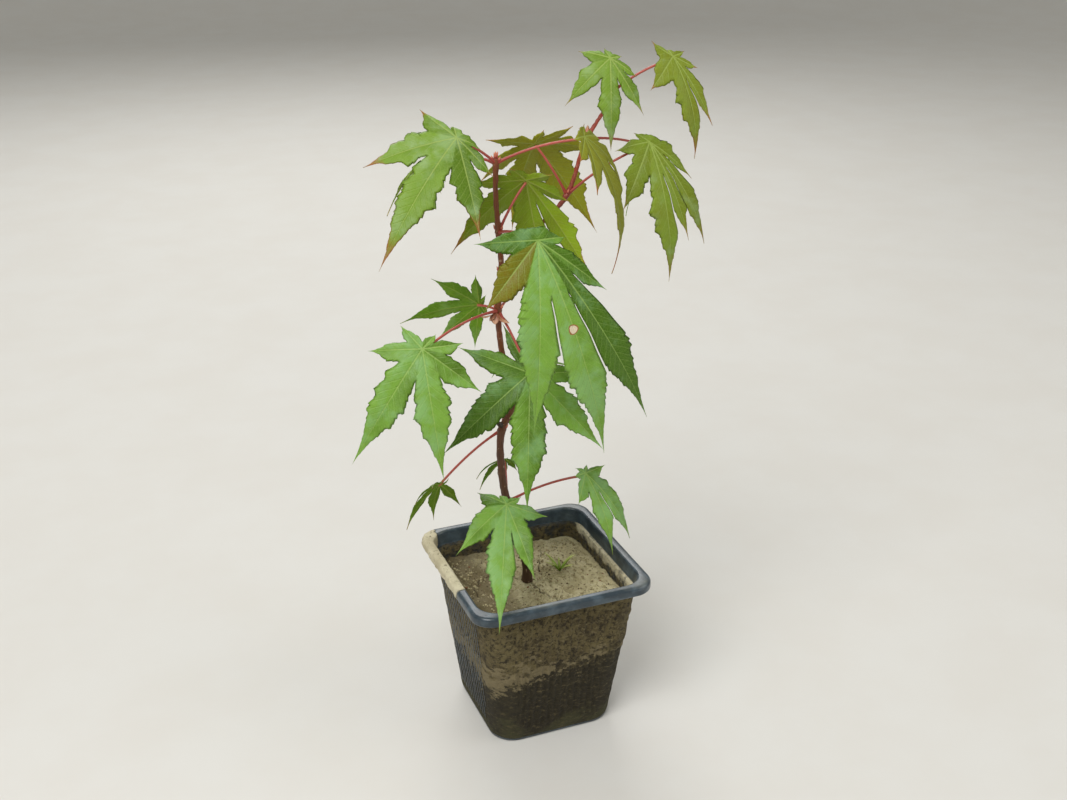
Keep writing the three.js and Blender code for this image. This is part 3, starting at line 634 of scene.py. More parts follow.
def tube(path, radii, sides, across=(0, 1, 0), relief=None):
    """A skin round a path: rings of points at the radii, square to the path, with the ends
    drawn in to points. relief(angle, points) adds to the radius of each point."""
    tangent = unit(np.gradient(path, axis=0))
    first = np.array(across, float) - (tangent @ np.array(across, float))[:, None] * tangent
    first = unit(first)
    second = np.cross(tangent, first)
    angle = np.linspace(0, 2 * math.pi, sides, endpoint=False)
    way = np.cos(angle)[None, :, None] * first[:, None] + np.sin(angle)[None, :, None] * second[:, None]
    radius = np.broadcast_to(radii[:, None], (len(path), sides)).copy()
    if relief:
        radius += relief(angle[None, :], path[:, None] + way * radius[..., None])
    radius[[0, -1]] = 0
    points = path[:, None] + way * radius[..., None]
    return points.reshape(-1, 3), grid_faces(len(path), sides, closed=True)


def capped(path, radii):
    """The path and radii with a point added right before the first ring and right after the
    last one, so that the ends close flat."""
    before = path[:1] - (path[1:2] - path[:1]) * 1e-3
    after = path[-1:] + (path[-1:] - path[-2:-1]) * 1e-3
    return np.concatenate([before, path, after]), np.concatenate([[0], radii, [0]])


def taper(height, foot, tip, foot_radius, tip_radius, nodes):
    """A limb's radius: it tapers evenly and swells at each node."""
    radius = foot_radius + (tip_radius - foot_radius) * (height - foot) / (tip - foot)
    for node in nodes.values():
        radius = radius + NODE_SWELL * np.exp(-(((height - node) / NODE_LENGTH) ** 2))
    return radius


def stem_radius(height):
    """The stem's radius as in the part, with a little more for its old bark low down."""
    flare = np.exp(-(height - SOIL_LEVEL) / (STEM_FLARE_HEIGHT / 2))
    even = taper(height, SOIL_LEVEL, STEM_NODES["top"], STEM_LOW_RADIUS, STEM_TIP_RADIUS, STEM_NODES)
    old = 1 - smooth(height, *OLD_BARK_HEIGHTS)
    return even + (STEM_FOOT_RADIUS - STEM_LOW_RADIUS) * flare + OLD_BARK * old


def branch_radius(height):
    """The side branch's radius as in the part."""
    tip = BRANCH_NODES["branchTop"]
    return taper(height, STEM_NODES["upper"], tip, BRANCH_FOOT_RADIUS, BRANCH_TIP_RADIUS, BRANCH_NODES)


def at_height(path, height):
    """The point and direction of a rising path at a height."""
    tangent = unit(np.gradient(path, axis=0))
    return tuple(
        np.array([np.interp(height, path[:, 2], values[:, axis]) for axis in range(3)])
        for values in (path, tangent)
    )


stem_path = course(np.array(STEM_PATH, float))
branch_course = np.array(BRANCH_PATH, float)
branch_start = at_height(stem_path, STEM_NODES["upper"])[0]
branch_path = course(np.vstack([branch_start, branch_course]))


def limb_relief(nodes):
    """Bark relief: faint ridges along the limb, low bumps, and a ring round each node."""

    def relief(angle, points):
        """What the bark adds to the radius at each point."""
        height = points[..., 2]
        bumps = ripple(points * [1, 1, 0.35], size=1.1, seed=7)
        ridges = np.sin(BARK_RIDGES * angle + ripple(points * [0, 0, 1], size=16, seed=8))
        rings = sum(np.exp(-(((height - node) / RING_WIDTH) ** 2)) for node in nodes.values())
        return BARK_RELIEF * (bumps + ridges / 2) + RING_HEIGHT * rings

    return relief


def grow_limbs():
    """The main stem and the side branch, each a skin round its course."""
    brown = bark_skin("young_maple_bark", "#49321d", "#7a3d1d", low_height=66, high_height=205,
                      pores=0.6)
    red = bark_skin("red_branch_bark", "#86392a", "#ac4738", low_height=205, high_height=262,
                    pores=0.3)
    for name, node, path, radius, nodes, skin, slot in [
        ("stem_bark", "main_stem", stem_path, stem_radius, STEM_NODES, brown, "bark"),
        ("branch_bark", "side_branch", branch_path, branch_radius, BRANCH_NODES, red, "young_bark"),
    ]:
        line, radii = capped(path, radius(path[:, 2]))
        points, faces = tube(line, radii, LIMB_SIDES, relief=limb_relief(nodes))
        make_piece(name, points, faces, [skin], [node])


# Leaves

def variation(leaf, lobe):
    """A small difference between leaves and lobes, from -1 to 1 and the same each time: what
    lies behind the point of a large multiple of a sine."""
    wave = np.sin(leaf * 12.9898 + lobe * 78.233 + 75.438) * 43758.5453
    return 2 * (wave - np.floor(wave)) - 1


def blade_frame(leaf):
    """The blade's joint, its outward, sideways and upward directions there, its middle
    lobe's length along the curve, and how fast the blade turns down."""
    joint = np.array(leaf["joint"], float)
    along = np.array(leaf["tip"], float) - joint
    chord = np.linalg.norm(along)
    along /= chord
    compass, height = np.radians(leaf["faces"])
    level = math.cos(height)
    above = np.array([math.cos(compass) * level, math.sin(compass) * level, math.sin(height)])
    above = unit(above - (above @ along) * along)
    half = math.radians(leaf["bend"]) / 2
    outward = along * math.cos(half) + above * math.sin(half)
    up = above * math.cos(half) - along * math.sin(half)
    length = chord * half / math.sin(half)
    return joint, outward, np.cross(up, outward), up, length, 2 * half / length


def lobes_of(leaf, length):
    """Each lobe's angle from the middle one and its length, and each notch's half angle and
    distance from the joint."""
    angles = np.radians(leaf["angles"])
    reach = length * np.array(leaf["shares"])
    gaps = (np.append(angles[1:], angles[0] + 2 * math.pi) - angles) / 2
    notches = np.minimum(NOTCH_RADII * length, NOTCH_LIMIT * np.minimum(reach, np.roll(reach, -1)))
    return angles, reach, gaps, notches


def half_lobe(reach, gap, notch, start, incision, seed):
    """One half of a lobe as rows from the joint to the tip and columns from the midvein to
    the margin. The rows up to the notch run out to the line that the next lobe shares. The
    margin beyond narrows by a power of the way left to the tip, and more past the middle,
    which draws the tip out. It has coarse teeth that point to the tip and small ones on
    them, no two alike. Returns the distances along and across the lobe, and the share of
    the way past the notch."""
    foot = notch * math.cos(gap)
    half = notch * math.sin(gap)
    teeth = max(3, round((reach - start) / TOOTH_SPACING))
    inner = np.linspace(0, 1, INNER_ROWS + 1)
    outer = np.arange(1, teeth * len(TOOTH_ROWS) + 1) / (teeth * len(TOOTH_ROWS))
    rng = np.random.default_rng(seed)
    tooth = np.outer(rng.uniform(*TOOTH_SIZES, teeth), TOOTH_ROWS).ravel()
    shift = TOOTH_LEAN * tooth / teeth * (1 - outer)
    share = np.minimum(outer + shift, 1)
    along = foot + share * (reach - foot)
    across = (1 - outer) ** LOBE_POINT * (half + LOBE_BULGE * reach * outer)
    number, phase = np.divmod(along / LOBULE_SPACING + rng.uniform(), 1)
    lobule = np.minimum(phase / LOBULE_TURN, (1 - phase) / (1 - LOBULE_TURN))
    lobule = lobule * rng.uniform(*LOBULE_SIZES, MOST_LOBULES)[number.astype(int)]
    jags = TOOTH_DEPTH * (tooth - 0.45) + incision * (lobule - 0.5) * (1 - 0.5 * outer)
    across = across * (1 + jags * smooth(outer, 0, 0.1))
    across = across * (1 - TIP_DRAW * smooth(outer, *DRAW_ENDS))
    if gap < math.pi / 2:
        across = np.minimum(across, LOBE_GAP * along * math.tan(gap))
    edge_along = np.concatenate([inner * foot, along])[:, None]
    edge_across = np.concatenate([inner * half, across])[:, None]
    vein = np.concatenate([inner * start, start + outer * (reach - start)])[:, None]
    past = np.concatenate([inner * 0, outer])[:, None] * np.ones_like(COLUMNS)
    return vein + (edge_along - vein) * COLUMNS, edge_across * COLUMNS, past


def half_relief(along, across, past, edge, phase):
    """How high one half of a lobe stands over the blade's curve: a crease at the midvein,
    low pillows between the side veins and waves along the margin."""
    vein = (along - across * VEIN_SLOPE) / VEIN_SPACING
    pillow = np.sin(math.pi * vein) ** 2 * smooth(across, *QUILT_START) * (1 - edge**4)
    wave = np.sin(along / WAVE_SPACING + phase) * edge**2 * smooth(past, *WAVE_START)
    crease = np.hypot(across, CREASE_RADIUS) - CREASE_RADIUS
    rise = FOLD * crease * (1 - FOLD_LOSS * edge) + QUILT_HEIGHT * pillow
    return rise + MARGIN_WAVE * wave * (1 - past)


def on_umbrella(frame, distance, angle, height):
    """Points at a distance and an angle from the joint in the flat leaf and at a height on
    it, carried onto the blade, which curves down as an umbrella does: a distance d becomes
    an arc of d."""
    joint, outward, sideways, up, _, curl = frame
    radial = np.cos(angle)[..., None] * outward + np.sin(angle)[..., None] * sideways
    turned = (curl * distance)[..., None]
    height = height[..., None]
    points = joint + radial * (np.sin(turned) / curl + height * np.sin(turned))
    return points + up * ((np.cos(turned) - 1) / curl + height * np.cos(turned))


def blade_surface(leaf, index):
    """A blade's two skins, half lobe by half lobe, with the values that its colours need.
    The skins lie half the blade's thickness above and below its relief and meet at the
    margin. A droop of each lobe is added to the relief."""
    frame = blade_frame(leaf)
    *_, length, _ = frame
    angles, reach, gaps, notches = lobes_of(leaf, length)
    # each lobe's painted shade
    depth = np.broadcast_to(leaf["shade"], 7)
    parts, labels, skins = [], [], []
    for lobe in range(7):
        beside = [(notches[lobe], gaps[lobe], 1), (notches[lobe - 1], gaps[lobe - 1], -1)]
        start = sum(radius * math.cos(gap) for radius, gap, _ in beside) / 2
        start = max(start, MIDVEIN_START * length)
        turned_over = 1.0 if lobe in leaf.get("turned", ()) else 0.0
        for notch, gap, side in beside:
            seed = 20 * index + 2 * lobe + (side > 0)
            incision = LOBULE_DEPTH[leaf["kind"]]
            along, across, past = half_lobe(reach[lobe], gap, notch, start, incision, seed)
            distance = np.hypot(along, across)
            angle = angles[lobe] + side * np.arctan2(across, along)
            edge = COLUMNS * np.ones_like(past)
            rise = half_relief(along, across, past, edge, 2 * lobe + side)
            rise = rise + LOBE_DROOP * variation(index, lobe) * past**2
            full = 1 - edge**6 * np.where(past > 0, 1, 0)
            full[INNER_ROWS, -1] = 0
            redness = TIP_RED * smooth(past, 0.5, 1) + TOOTH_RED * edge**8 * smooth(past, 0.05, 0.5)
            olive = turned_over * smooth(past, -0.5, 0.2)
            # painted shade of the leaf and lobe, with one half of the lobe darker and the other lighter
            green = depth[lobe] + SIDE_SHADE * side + 0 * past
            label = np.stack([along, across, past, green, olive, redness], -1)
            for skin in (1, -1):
                height = rise + skin * BLADE_THICKNESS / 2 * full
                points = on_umbrella(frame, distance, angle, height)
                faces = grid_faces(*past.shape)
                if skin * side > 0:
                    faces = faces[:, ::-1]
                parts.append((points.reshape(-1, 3), faces))
                labels.append(label.reshape(-1, 6))
                skins.append(np.full(len(faces), 0 if skin > 0 else 1))
    points, faces = join(parts)
    along, across, past, green, olive, redness = np.concatenate(labels).T
    away = np.linalg.norm(points - np.array(leaf.get("spot", FAR_OFF)), axis=1)
    values = {
        "along": along,
        "across": across,
        "past": past,
        "shade": green,
        "warmth": np.maximum(leaf["warmth"], olive),
        "blush": leaf["blush"] * redness + OLIVE_RED * olive,
        "dry": 1 - smooth(away, *DRY_SPOT),
    }
    return points, faces, values, np.concatenate(skins)


def stalk_surface(leaf):
    """A leaf's stalk: a skin round a flat arch from its limb to the blade's joint, thick at
    its foot, slender in the middle and thicker again where the veins part."""
    joint, outward, _, up, _, _ = blade_frame(leaf)
    on_stem = leaf["node"] in STEM_NODES
    height = (STEM_NODES if on_stem else BRANCH_NODES)[leaf["node"]]
    foot, _ = at_height(stem_path if on_stem else branch_path, height)
    radius = (stem_radius if on_stem else branch_radius)(np.array(height))
    middle = (foot + joint) / 2 + [0, 0, STALK_ARCH * np.linalg.norm(joint - foot)]
    start = foot + unit(middle - foot) * radius * STALK_START
    end = joint + outward * STALK_END[0] - up * STALK_END[1]
    t = np.linspace(0, 1, STALK_STEPS)[:, None]
    path = (1 - t) ** 2 * start + 2 * t * (1 - t) * middle + t**2 * end
    share = t[:, 0]
    radii = STALK_RADIUS + STALK_FOOT_SWELL * np.exp(-share * STALK_FALLS[0])
    radii = radii + STALK_END_SWELL * np.exp(-(1 - share) * STALK_FALLS[1])
    radii[-1] = STALK_END_RADIUS
    flat = np.cross(middle - start, end - start)
    line, radii = capped(path, radii)
    points, faces = tube(line, radii, STALK_SIDES, across=unit(flat))
    ripe = np.repeat(np.concatenate([[0], share, [1]]), STALK_SIDES)
    return points, faces, ripe


def grow_leaves():
    """Every leaf as a blade and its stalk. A skin's colours are its flesh, dark green for its dark
    patches and painted shade, where the sun has yellowed it, a pale painted sheen, veins and
    scorched tips."""
    skins = {
        "fresh": [
            leaf_skin("young_leaf_upper_side", "#77992e", "#527205", "#868612", "#a3bf8c",
                      "#a2b55c", "#a04c28", 0.42, -1),
            leaf_skin("young_leaf_underside", "#8db41e", "#6a8e10", "#9a9416", "#a9c07c",
                      "#adb95a", "#a65a24", 0.5, 1),
        ],
        "grown": [
            leaf_skin("grown_leaf_upper_side", "#78a43a", "#436803", "#787006", "#8dba83",
                      "#9dbb60", "#8a4224", 0.38, -1),
            leaf_skin("grown_leaf_underside", "#76a01a", "#55800c", "#868812", "#93b56c",
                      "#9ab14c", "#8c5522", 0.5, 1),
        ],
    }
    red = stalk_skin()
    for index, leaf in enumerate(LEAVES):
        points, faces, values, sides = blade_surface(leaf, index)
        kind = leaf["kind"]
        make_piece(leaf["name"] + "_blade", points, faces, skins[kind], [leaf["name"]],
                   face_material=sides, values=values)
        points, faces, ripe = stalk_surface(leaf)
        make_piece(leaf["name"] + "_stalk", points, faces, [red], [leaf["name"]],
                   values={"ripe": ripe})


# Pot and soil

def square_ring(half, corner, side_steps, corner_steps):
    """A square with round corners as points run anticlockwise, one row for each half width
    and corner radius given. Each quarter is an arc and the straight side that follows it."""
    half, corner = (np.atleast_1d(v).astype(float)[:, None] for v in (half, corner))
    rows = []
    for quarter in range(4):
        turn = math.pi / 2 * quarter
        cos, sin = round(math.cos(turn)), round(math.sin(turn))
        arc = np.linspace(0, math.pi / 2, corner_steps)[None, :]
        x = half - corner + corner * np.cos(arc)
        y = half - corner + corner * np.sin(arc)
        side = np.linspace(1, -1, side_steps + 2)[None, 1:-1]
        x = np.concatenate([x, side * (half - corner)], 1)
        y = np.concatenate([y, half + 0 * side], 1)
        rows.append(np.stack([x * cos - y * sin, x * sin + y * cos], -1))
    return np.concatenate(rows, 1)


def body_half(height):
    """Half the width of the pot's tapering wall at a height."""
    top = RIM_WIDTH - 2 * RIM_OVERHANG
    return (BASE_WIDTH + (top - BASE_WIDTH) * height / POT_HEIGHT) / 2


def body_corner(height):
    """The radius of the wall's corners at a height."""
    return BASE_CORNER + (RIM_CORNER - BASE_CORNER) * height / POT_HEIGHT


def arc_rows(centre_half, centre_height, radius, start, end, steps):
    """Rows of a profile round an arc: half widths and heights."""
    angle = np.radians(np.linspace(start, end, steps))
    return centre_half + radius * np.cos(angle), centre_height + radius * np.sin(angle)


RIB_PITCH = 3
RIB_HEIGHT = 0.45
RIB_GROOVE = 0.25  # how deep the grooves between the ribs are, as a share of RIB_HEIGHT
RIB_ENDS = (4, 8, 62, 66)  # heights at which the ribs start, are full, start to end and end
BASE_RECESS = 0.5  # of the base's underside above the ground
UNDERSIDE = ((5.2, BASE_RECESS), (4.4, 0.2), (3.4, 0), (1.6, 0))  # inset and height of rows
BASE_ROUND = 1.2
UNDER_RIM_ROUND = 0.8  # of the hollow where the wall meets the rim
BAND_ROUND = 1.1  # the rim's lower outer edge
LIP_ROUND = 1.6  # its upper outer edge
INNER_ROUND = 1.2  # its upper inner edge
LEDGE_ROUND = 0.7  # the ledge's foot
STEP_ROUND = 0.4  # the ledge's edge
WALL_ROWS = 60
SIDE_STEPS = 151  # odd, so that one step lies in the middle
CORNER_STEPS = 14

DAMP_HEIGHT = 38  # of the damp mud's upper edge, under the middle of the wall
DAMP_WANDER = 26  # how far that edge wanders up and down
DAMP_EDGE = DAMP_HEIGHT + DAMP_WANDER / 2
DAMP_SLOPE = 0.12  # its rise towards the right
MUD_RELIEF = 0.9  # of the crumbs and clods in the mud's material
CLOD_HEIGHT = 0.4  # of the clods along the damp edge
CAKE_HEIGHT = 0.45  # of the mud caked on the rim
CAKE_ENDS = (-20, -8)  # along Y, where the cake on the left of the rim starts and is full
CAKE_RISE = (66, 68.6)  # heights at which it starts and is full
RIGHT_RISE = (60, 64)  # the same of the cake on the right, which lies inside only
RIM_SIDE = (31, 34)  # along X, where the caked part of the rim starts and is full
FRONT_SIDE = (24, 29)  # along -Y, where the front wall's thick mud starts and is full
INNER_FILM = (65, 70)  # heights between which the film on the inner wall gets thinner
RIM_MUD_HEIGHT = 70  # from here up the mud stands out less
RIM_MUD_SHARE = 0.4
BASE_FILM = 0.6  # of mud on the base
MOST_CORNER = 0.98  # of a ring's half width, the most that its corners take
MUD_LUMPS = ((6, 0.5, 21), (2.2, 0.3, 22), (0.9, 0.2, 23))  # size, weight and seed


def drained_plate(half, corner, height):
    """The pot's base at one height: a round-cornered square with a round hole in each
    quarter. Each quarter is a grid that runs from its hole's edge straight out to the
    quarter's outline, which is a part of the square's and the two lines to its middle.
    Returns each quarter as its rows of points, the hole's edge first."""
    outline = square_ring(half, corner, SIDE_STEPS, CORNER_STEPS)[0]
    quarter = CORNER_STEPS + SIDE_STEPS
    outline = np.roll(outline, SIDE_STEPS // 2 + 1, axis=0)
    outline = np.concatenate([outline, outline[:1]])
    share = np.linspace(0, 1, 21)[:, None]
    out = np.array([0, 0.3, 0.65, 1])[:, None, None]
    grids = []
    for number in range(4):
        edge = outline[number * quarter : (number + 1) * quarter + 1]
        loop = np.concatenate([edge, edge[-1] * (1 - share[1:]), edge[0] * share[1:-1]])
        hole = DRAIN_OFFSET * np.sign(edge[0] + edge[-1])
        circle = hole + DRAIN_RADIUS * unit(loop - hole)
        flat = circle * (1 - out) + loop * out
        grids.append(np.concatenate([flat, np.full((*flat.shape[:2], 1), height)], -1))
    return grids


def pot_profile():
    """The pot's profile, from under the base out, up the wall, round the rolled rim and down
    inside over the ledge to the floor: half widths and heights, row by row. Returns it with
    the first row of the outer wall and the first row inside the rim."""
    band = POT_HEIGHT - RIM_BAND
    ledge = POT_HEIGHT - LEDGE_DROP
    outer = RIM_WIDTH / 2
    inner = outer - RIM_OVERHANG
    foot = body_half(0)
    inner_ledge = body_half(ledge) - POT_WALL + LEDGE_STEP
    step = body_half(ledge) - POT_WALL + STEP_ROUND
    rows = []

    def add(half, height):
        """Adds rows at the half widths and heights given."""
        half, height = np.broadcast_arrays(np.atleast_1d(half), np.atleast_1d(height))
        rows.append(np.stack([half, height], 1).astype(float))

    def taper_wall(low, high, steps, offset=0.0):
        """Adds rows along the tapering wall, inside its outer face by the offset."""
        heights = np.linspace(low, high, steps)
        add(body_half(heights) - offset, heights)

    for inset, height in UNDERSIDE:
        add(foot - inset, height)
    add(*arc_rows(foot - BASE_ROUND, BASE_ROUND, BASE_ROUND, -90, 0, 6))
    wall_start = sum(map(len, rows))
    taper_wall(2 * BASE_ROUND, band - BASE_ROUND, WALL_ROWS)
    hollow = body_half(band) + UNDER_RIM_ROUND
    add(*arc_rows(hollow, band - UNDER_RIM_ROUND, UNDER_RIM_ROUND, 180, 90, 4))
    add(*arc_rows(outer - BAND_ROUND, band + BAND_ROUND, BAND_ROUND, -90, 0, 6))
    add(*arc_rows(outer - LIP_ROUND, POT_HEIGHT - LIP_ROUND, LIP_ROUND, 0, 90, 8))
    add(*arc_rows(inner + 0.9, POT_HEIGHT - INNER_ROUND, INNER_ROUND, 90, 180, 8))
    inner_start = sum(map(len, rows)) + 4
    add(np.linspace(inner - 0.5, inner_ledge, 5), np.linspace(POT_HEIGHT - 2, ledge + LEDGE_ROUND, 5))
    add(*arc_rows(inner_ledge - LEDGE_ROUND, ledge + LEDGE_ROUND, LEDGE_ROUND, 0, -90, 4))
    add(*arc_rows(step, ledge - STEP_ROUND, STEP_ROUND, 90, 180, 4))
    taper_wall(ledge - 1.5, SOIL_LEVEL - 12, 8, POT_WALL)
    taper_wall(SOIL_LEVEL - 16, POT_WALL, 4, POT_WALL)
    return np.concatenate(rows), wall_start, inner_start


def muddy(points, corner, outside, inside):
    """The ribs and the dried mud on the pot's skin. The ribs are a cosine along each side of
    the wall, cut off between them. The mud lies thick on the front wall, in clods along its
    damp edge and caked on the left of the rim. Returns how far the skin stands out, how far
    the cake stands up, and the mud's film and cake and the ribs' crests for the material."""
    x, y, height = np.moveaxis(points, -1, 0)
    along = np.where(np.abs(x) > np.abs(y), y, x)
    on_side = smooth(body_half(height) - corner[:, None] - np.abs(along), -0.5, 1.5)
    start, full, ending, end = RIB_ENDS
    ribs = np.clip(np.cos(2 * math.pi * along / RIB_PITCH), -RIB_GROOVE, 1) * on_side * outside
    ribs = ribs * smooth(height, start, full) * (1 - smooth(height, ending, end))
    front = smooth(-y, *FRONT_SIDE)
    band = POT_HEIGHT - RIM_BAND
    film = np.where(outside, 1.0, 0.1) * (1 - 0.9 * smooth(height, band - 0.5, band + 0.5))
    film = film * (1 + 0.8 * front)
    film = np.where(inside, 0.25 + 0.3 * (1 - smooth(height, *INNER_FILM)), film)
    left_rim = smooth(-x, *RIM_SIDE) * smooth(y, *CAKE_ENDS) * smooth(height, *CAKE_RISE)
    right_rim = 0.6 * smooth(x, *RIM_SIDE) * smooth(height, *RIGHT_RISE) * inside
    lumps = sum(weight * ripple(points, size, seed) for size, weight, seed in MUD_LUMPS)
    clods = np.clip(ripple(points * [1, 1, 1.6], 4, 24), 0, 1.5) * (0.3 + 0.7 * front)
    damp_edge = np.exp(-(((height - DAMP_HEIGHT - DAMP_SLOPE * x) / 5) ** 2))
    swell = RIB_HEIGHT * ribs + (0.08 + 0.18 * front) * smooth(height, 0.5, 4) * lumps * outside
    swell = swell + CLOD_HEIGHT * clods * damp_edge * outside
    swell = swell + CAKE_HEIGHT * left_rim * (0.4 + 0.6 * lumps)
    swell = swell * np.where(height > RIM_MUD_HEIGHT, RIM_MUD_SHARE, 1)
    lift = 0.25 * left_rim * np.clip(lumps, 0, 2) * smooth(height, RIM_MUD_HEIGHT, POT_HEIGHT - 1)
    return swell, lift, film, np.maximum(left_rim, right_rim), np.maximum(ribs, 0)


def make_pot():
    """The pot's skin: its profile carried round a square with round corners, with its ribs
    and mud standing out from it, and closed by the base with its drain holes."""
    profile, wall_start, inner_start = pot_profile()
    half, height = profile.T
    corner = np.minimum(body_corner(height) - (body_half(height) - half), half * MOST_CORNER)
    corner = np.where(half > body_half(height) + 1, RIM_CORNER - (RIM_WIDTH / 2 - half), corner)
    flat = square_ring(half, corner, SIDE_STEPS, CORNER_STEPS)
    level = np.broadcast_to(height[:, None, None], (*flat.shape[:2], 1))
    points = np.concatenate([flat, level], -1)
    row = np.arange(len(profile))[:, None]
    outside = (row >= wall_start) & (row < wall_start + WALL_ROWS)
    swell, lift, film, cake, crest = muddy(points, corner, outside, row > inner_start)
    outward = flat / np.maximum(np.abs(flat).max(-1), 1)[..., None]
    points[..., :2] += outward * swell[..., None]
    points[..., 2] += lift
    parts = [(points.reshape(-1, 3), grid_faces(len(profile), flat.shape[1], closed=True))]
    under = drained_plate(half[0], corner[0], BASE_RECESS)
    floor = drained_plate(half[-1], corner[-1], POT_WALL)
    for low, high in zip(under, floor):
        faces = grid_faces(*low.shape[:2], closed=True)
        parts.append((low.reshape(-1, 3), faces))
        parts.append((high.reshape(-1, 3), faces[:, ::-1]))
        wall = np.concatenate([low[:1], high[:1]])
        parts.append((wall.reshape(-1, 3), grid_faces(*wall.shape[:2], closed=True)[:, ::-1]))
    base = sum(len(part) for part, _ in parts[1:])
    points, faces = join(parts)
    values = {
        "cake": np.append(cake, np.zeros(base)),
        "film": np.append(film, np.full(base, BASE_FILM)),
        "crest": np.append(crest, np.zeros(base)),
    }
    make_piece("nursery_pot", points, faces, [pot_skin()], ["pot"], values=values)


SOIL_LUMPS = ((14, 0.45, 31), (4, 0.32, 32), (1.4, 0.15, 33))  # size, height and seed
STEM_MOUND = 0.8  # how high the soil is heaped round the stem
MOUND_AREA = 30  # mm2, over which that heap falls off
SOIL_RINGS = 90
CRACK_DEPTH = 0.9
CRACK_WIDTH = 0.45  # of a crack whose width in the list is 1
CRACK_WANDER = ((1.1, 2.3), (0.5, 0.9))  # how far to the side, and over what length
SOIL_EDGE = 1.2  # how far in from the wall the soil's top is painted in shade
# how dark the painted shade is along the wall, and on the block's underside and sides
EDGE_SHADE = 0.5
FOOT_SHADE = 0.6
CRACKS = [  # start, end and width
    ((-3, -1.5), (4, -24), 0.9),
    ((2, -26), (9, -19), 0.6),
    ((-4, 2), (-22, 12), 0.7),
    ((-2, 1), (12, 17), 0.7),
    ((12, 17), (14, 28), 0.6),
    ((-22, 12), (-27, -4), 0.6),
]


def soil_height(x, y):
    """The soil's height: a shallow dish with lumps and crumbs, and cracks cut in it. Returns
    the height and how deep in a crack each point lies."""
    flat = np.stack([x, y, 0 * x], -1)
    away = np.maximum(np.abs(x), np.abs(y)) / (body_half(SOIL_LEVEL) - POT_WALL)
    height = SOIL_LEVEL - SOIL_DISH * smooth(away, 0.3, 1)
    for size, rise, seed in SOIL_LUMPS:
        height = height + rise * ripple(flat, size, seed)
    stem_x, stem_y, _ = STEM_PATH[0]
    height = height + STEM_MOUND * np.exp(-((x - stem_x) ** 2 + (y - stem_y) ** 2) / MOUND_AREA)
    deep = np.zeros_like(x)
    for start, end, width in CRACKS:
        start, end = np.array(start), np.array(end)
        length = np.linalg.norm(end - start)
        way = (end - start) / length
        along = (x - start[0]) * way[0] + (y - start[1]) * way[1]
        across = (y - start[1]) * way[0] - (x - start[0]) * way[1]
        for wander, spacing in CRACK_WANDER:
            across = across - wander * np.sin(along / spacing)
        inside = smooth(along, 0, 2) * (1 - smooth(along, length - 4, length))
        deep = np.maximum(deep, np.exp(-((across / (CRACK_WIDTH * width)) ** 2)) * inside)
    return height - CRACK_DEPTH * deep, deep


def make_soil():
    """The soil: a closed block whose top is worked out on rings that shrink to the middle."""
    edge = SOIL_LEVEL - SOIL_DISH
    gap = POT_WALL + CLEARANCE
    top_half = body_half(edge) - gap
    top_corner = body_corner(edge) - POT_WALL
    shrink = np.linspace(1, 0, SOIL_RINGS)[1:]
    half = np.append([0, body_half(0) - gap, top_half, top_half], top_half * shrink)
    corner = np.append([0, BASE_CORNER - POT_WALL, top_corner, top_corner], top_corner * shrink)
    flat = square_ring(half, corner, 60, 10)
    height, deep = soil_height(flat[..., 0], flat[..., 1])
    height[:3] = np.array([gap, gap, edge - 2])[:, None]
    height[3] = np.minimum(height[3], edge + 0.4)
    # painted shade on the block's underside and sides and along the wall
    deep[:4] = FOOT_SHADE
    away = np.abs(flat).max(-1)
    deep = np.maximum(deep, EDGE_SHADE * smooth(away, top_half - SOIL_EDGE, top_half))
    points = np.concatenate([flat, height[..., None]], -1)
    faces = grid_faces(len(half), flat.shape[1], closed=True)
    make_piece("sandy_soil", points.reshape(-1, 3), faces, [soil_skin()], ["soil"],
               values={"deep": deep.ravel()})


STONE_LEVELS = np.array([-1, -0.55, 0.35, 1])
STONE_GIRTH = np.array([0, 0.9, 1, 0])
STONE_SIDES = 6
STONE_FLATNESS = 0.7
STONE_ROUGHNESS = 0.12  # how unevenly its corners stand out
STONE_LIFT = 0.15  # of its size, how far its middle lies above the soil
STONE_MARGIN = 3  # between the stones and the pot's wall


def scatter(name, count, sizes, seed, material):
    """Grains on the soil: one six-sided stone, turned, stretched and set down many times."""
    rng = np.random.default_rng(seed)
    reach = body_half(SOIL_LEVEL) - POT_WALL - STONE_MARGIN
    x, y = rng.uniform(-reach, reach, (2, count))
    size = rng.uniform(*sizes, count) * rng.uniform(0.5, 1, count)
    ring = np.linspace(0, 2 * math.pi, STONE_SIDES, endpoint=False)
    girth, level = STONE_GIRTH[:, None], STONE_LEVELS[:, None] * STONE_FLATNESS
    stone = np.stack([girth * np.cos(ring), girth * np.sin(ring), level + 0 * ring], -1)
    stone = stone.reshape(-1, 3)
    turn = rng.uniform(0, 2 * math.pi, count)
    rough = 1 + STONE_ROUGHNESS * rng.normal(size=(count, len(girth), STONE_SIDES, 1))
    rough[:, [0, -1]] = rough[:, [0, -1], :1]
    shape = stone * rng.uniform(0.7, 1.2, (count, 1, 3)) * rough.reshape(count, -1, 1)
    along, across, up = np.moveaxis(shape, -1, 0)
    cos, sin = np.cos(turn)[:, None], np.sin(turn)[:, None]
    turned = np.stack([along * cos - across * sin, along * sin + across * cos, up], -1)
    height, _ = soil_height(x, y)
    middle = np.stack([x, y, height + size * STONE_LIFT], -1)[:, None]
    points = turned * size[:, None, None] + middle
    faces = grid_faces(len(girth), STONE_SIDES, closed=True)[None]
    faces = faces + (np.arange(count) * len(stone))[:, None, None]
    make_piece(name, points.reshape(-1, 3), faces.reshape(-1, 4), [material])


# Buds and small growth

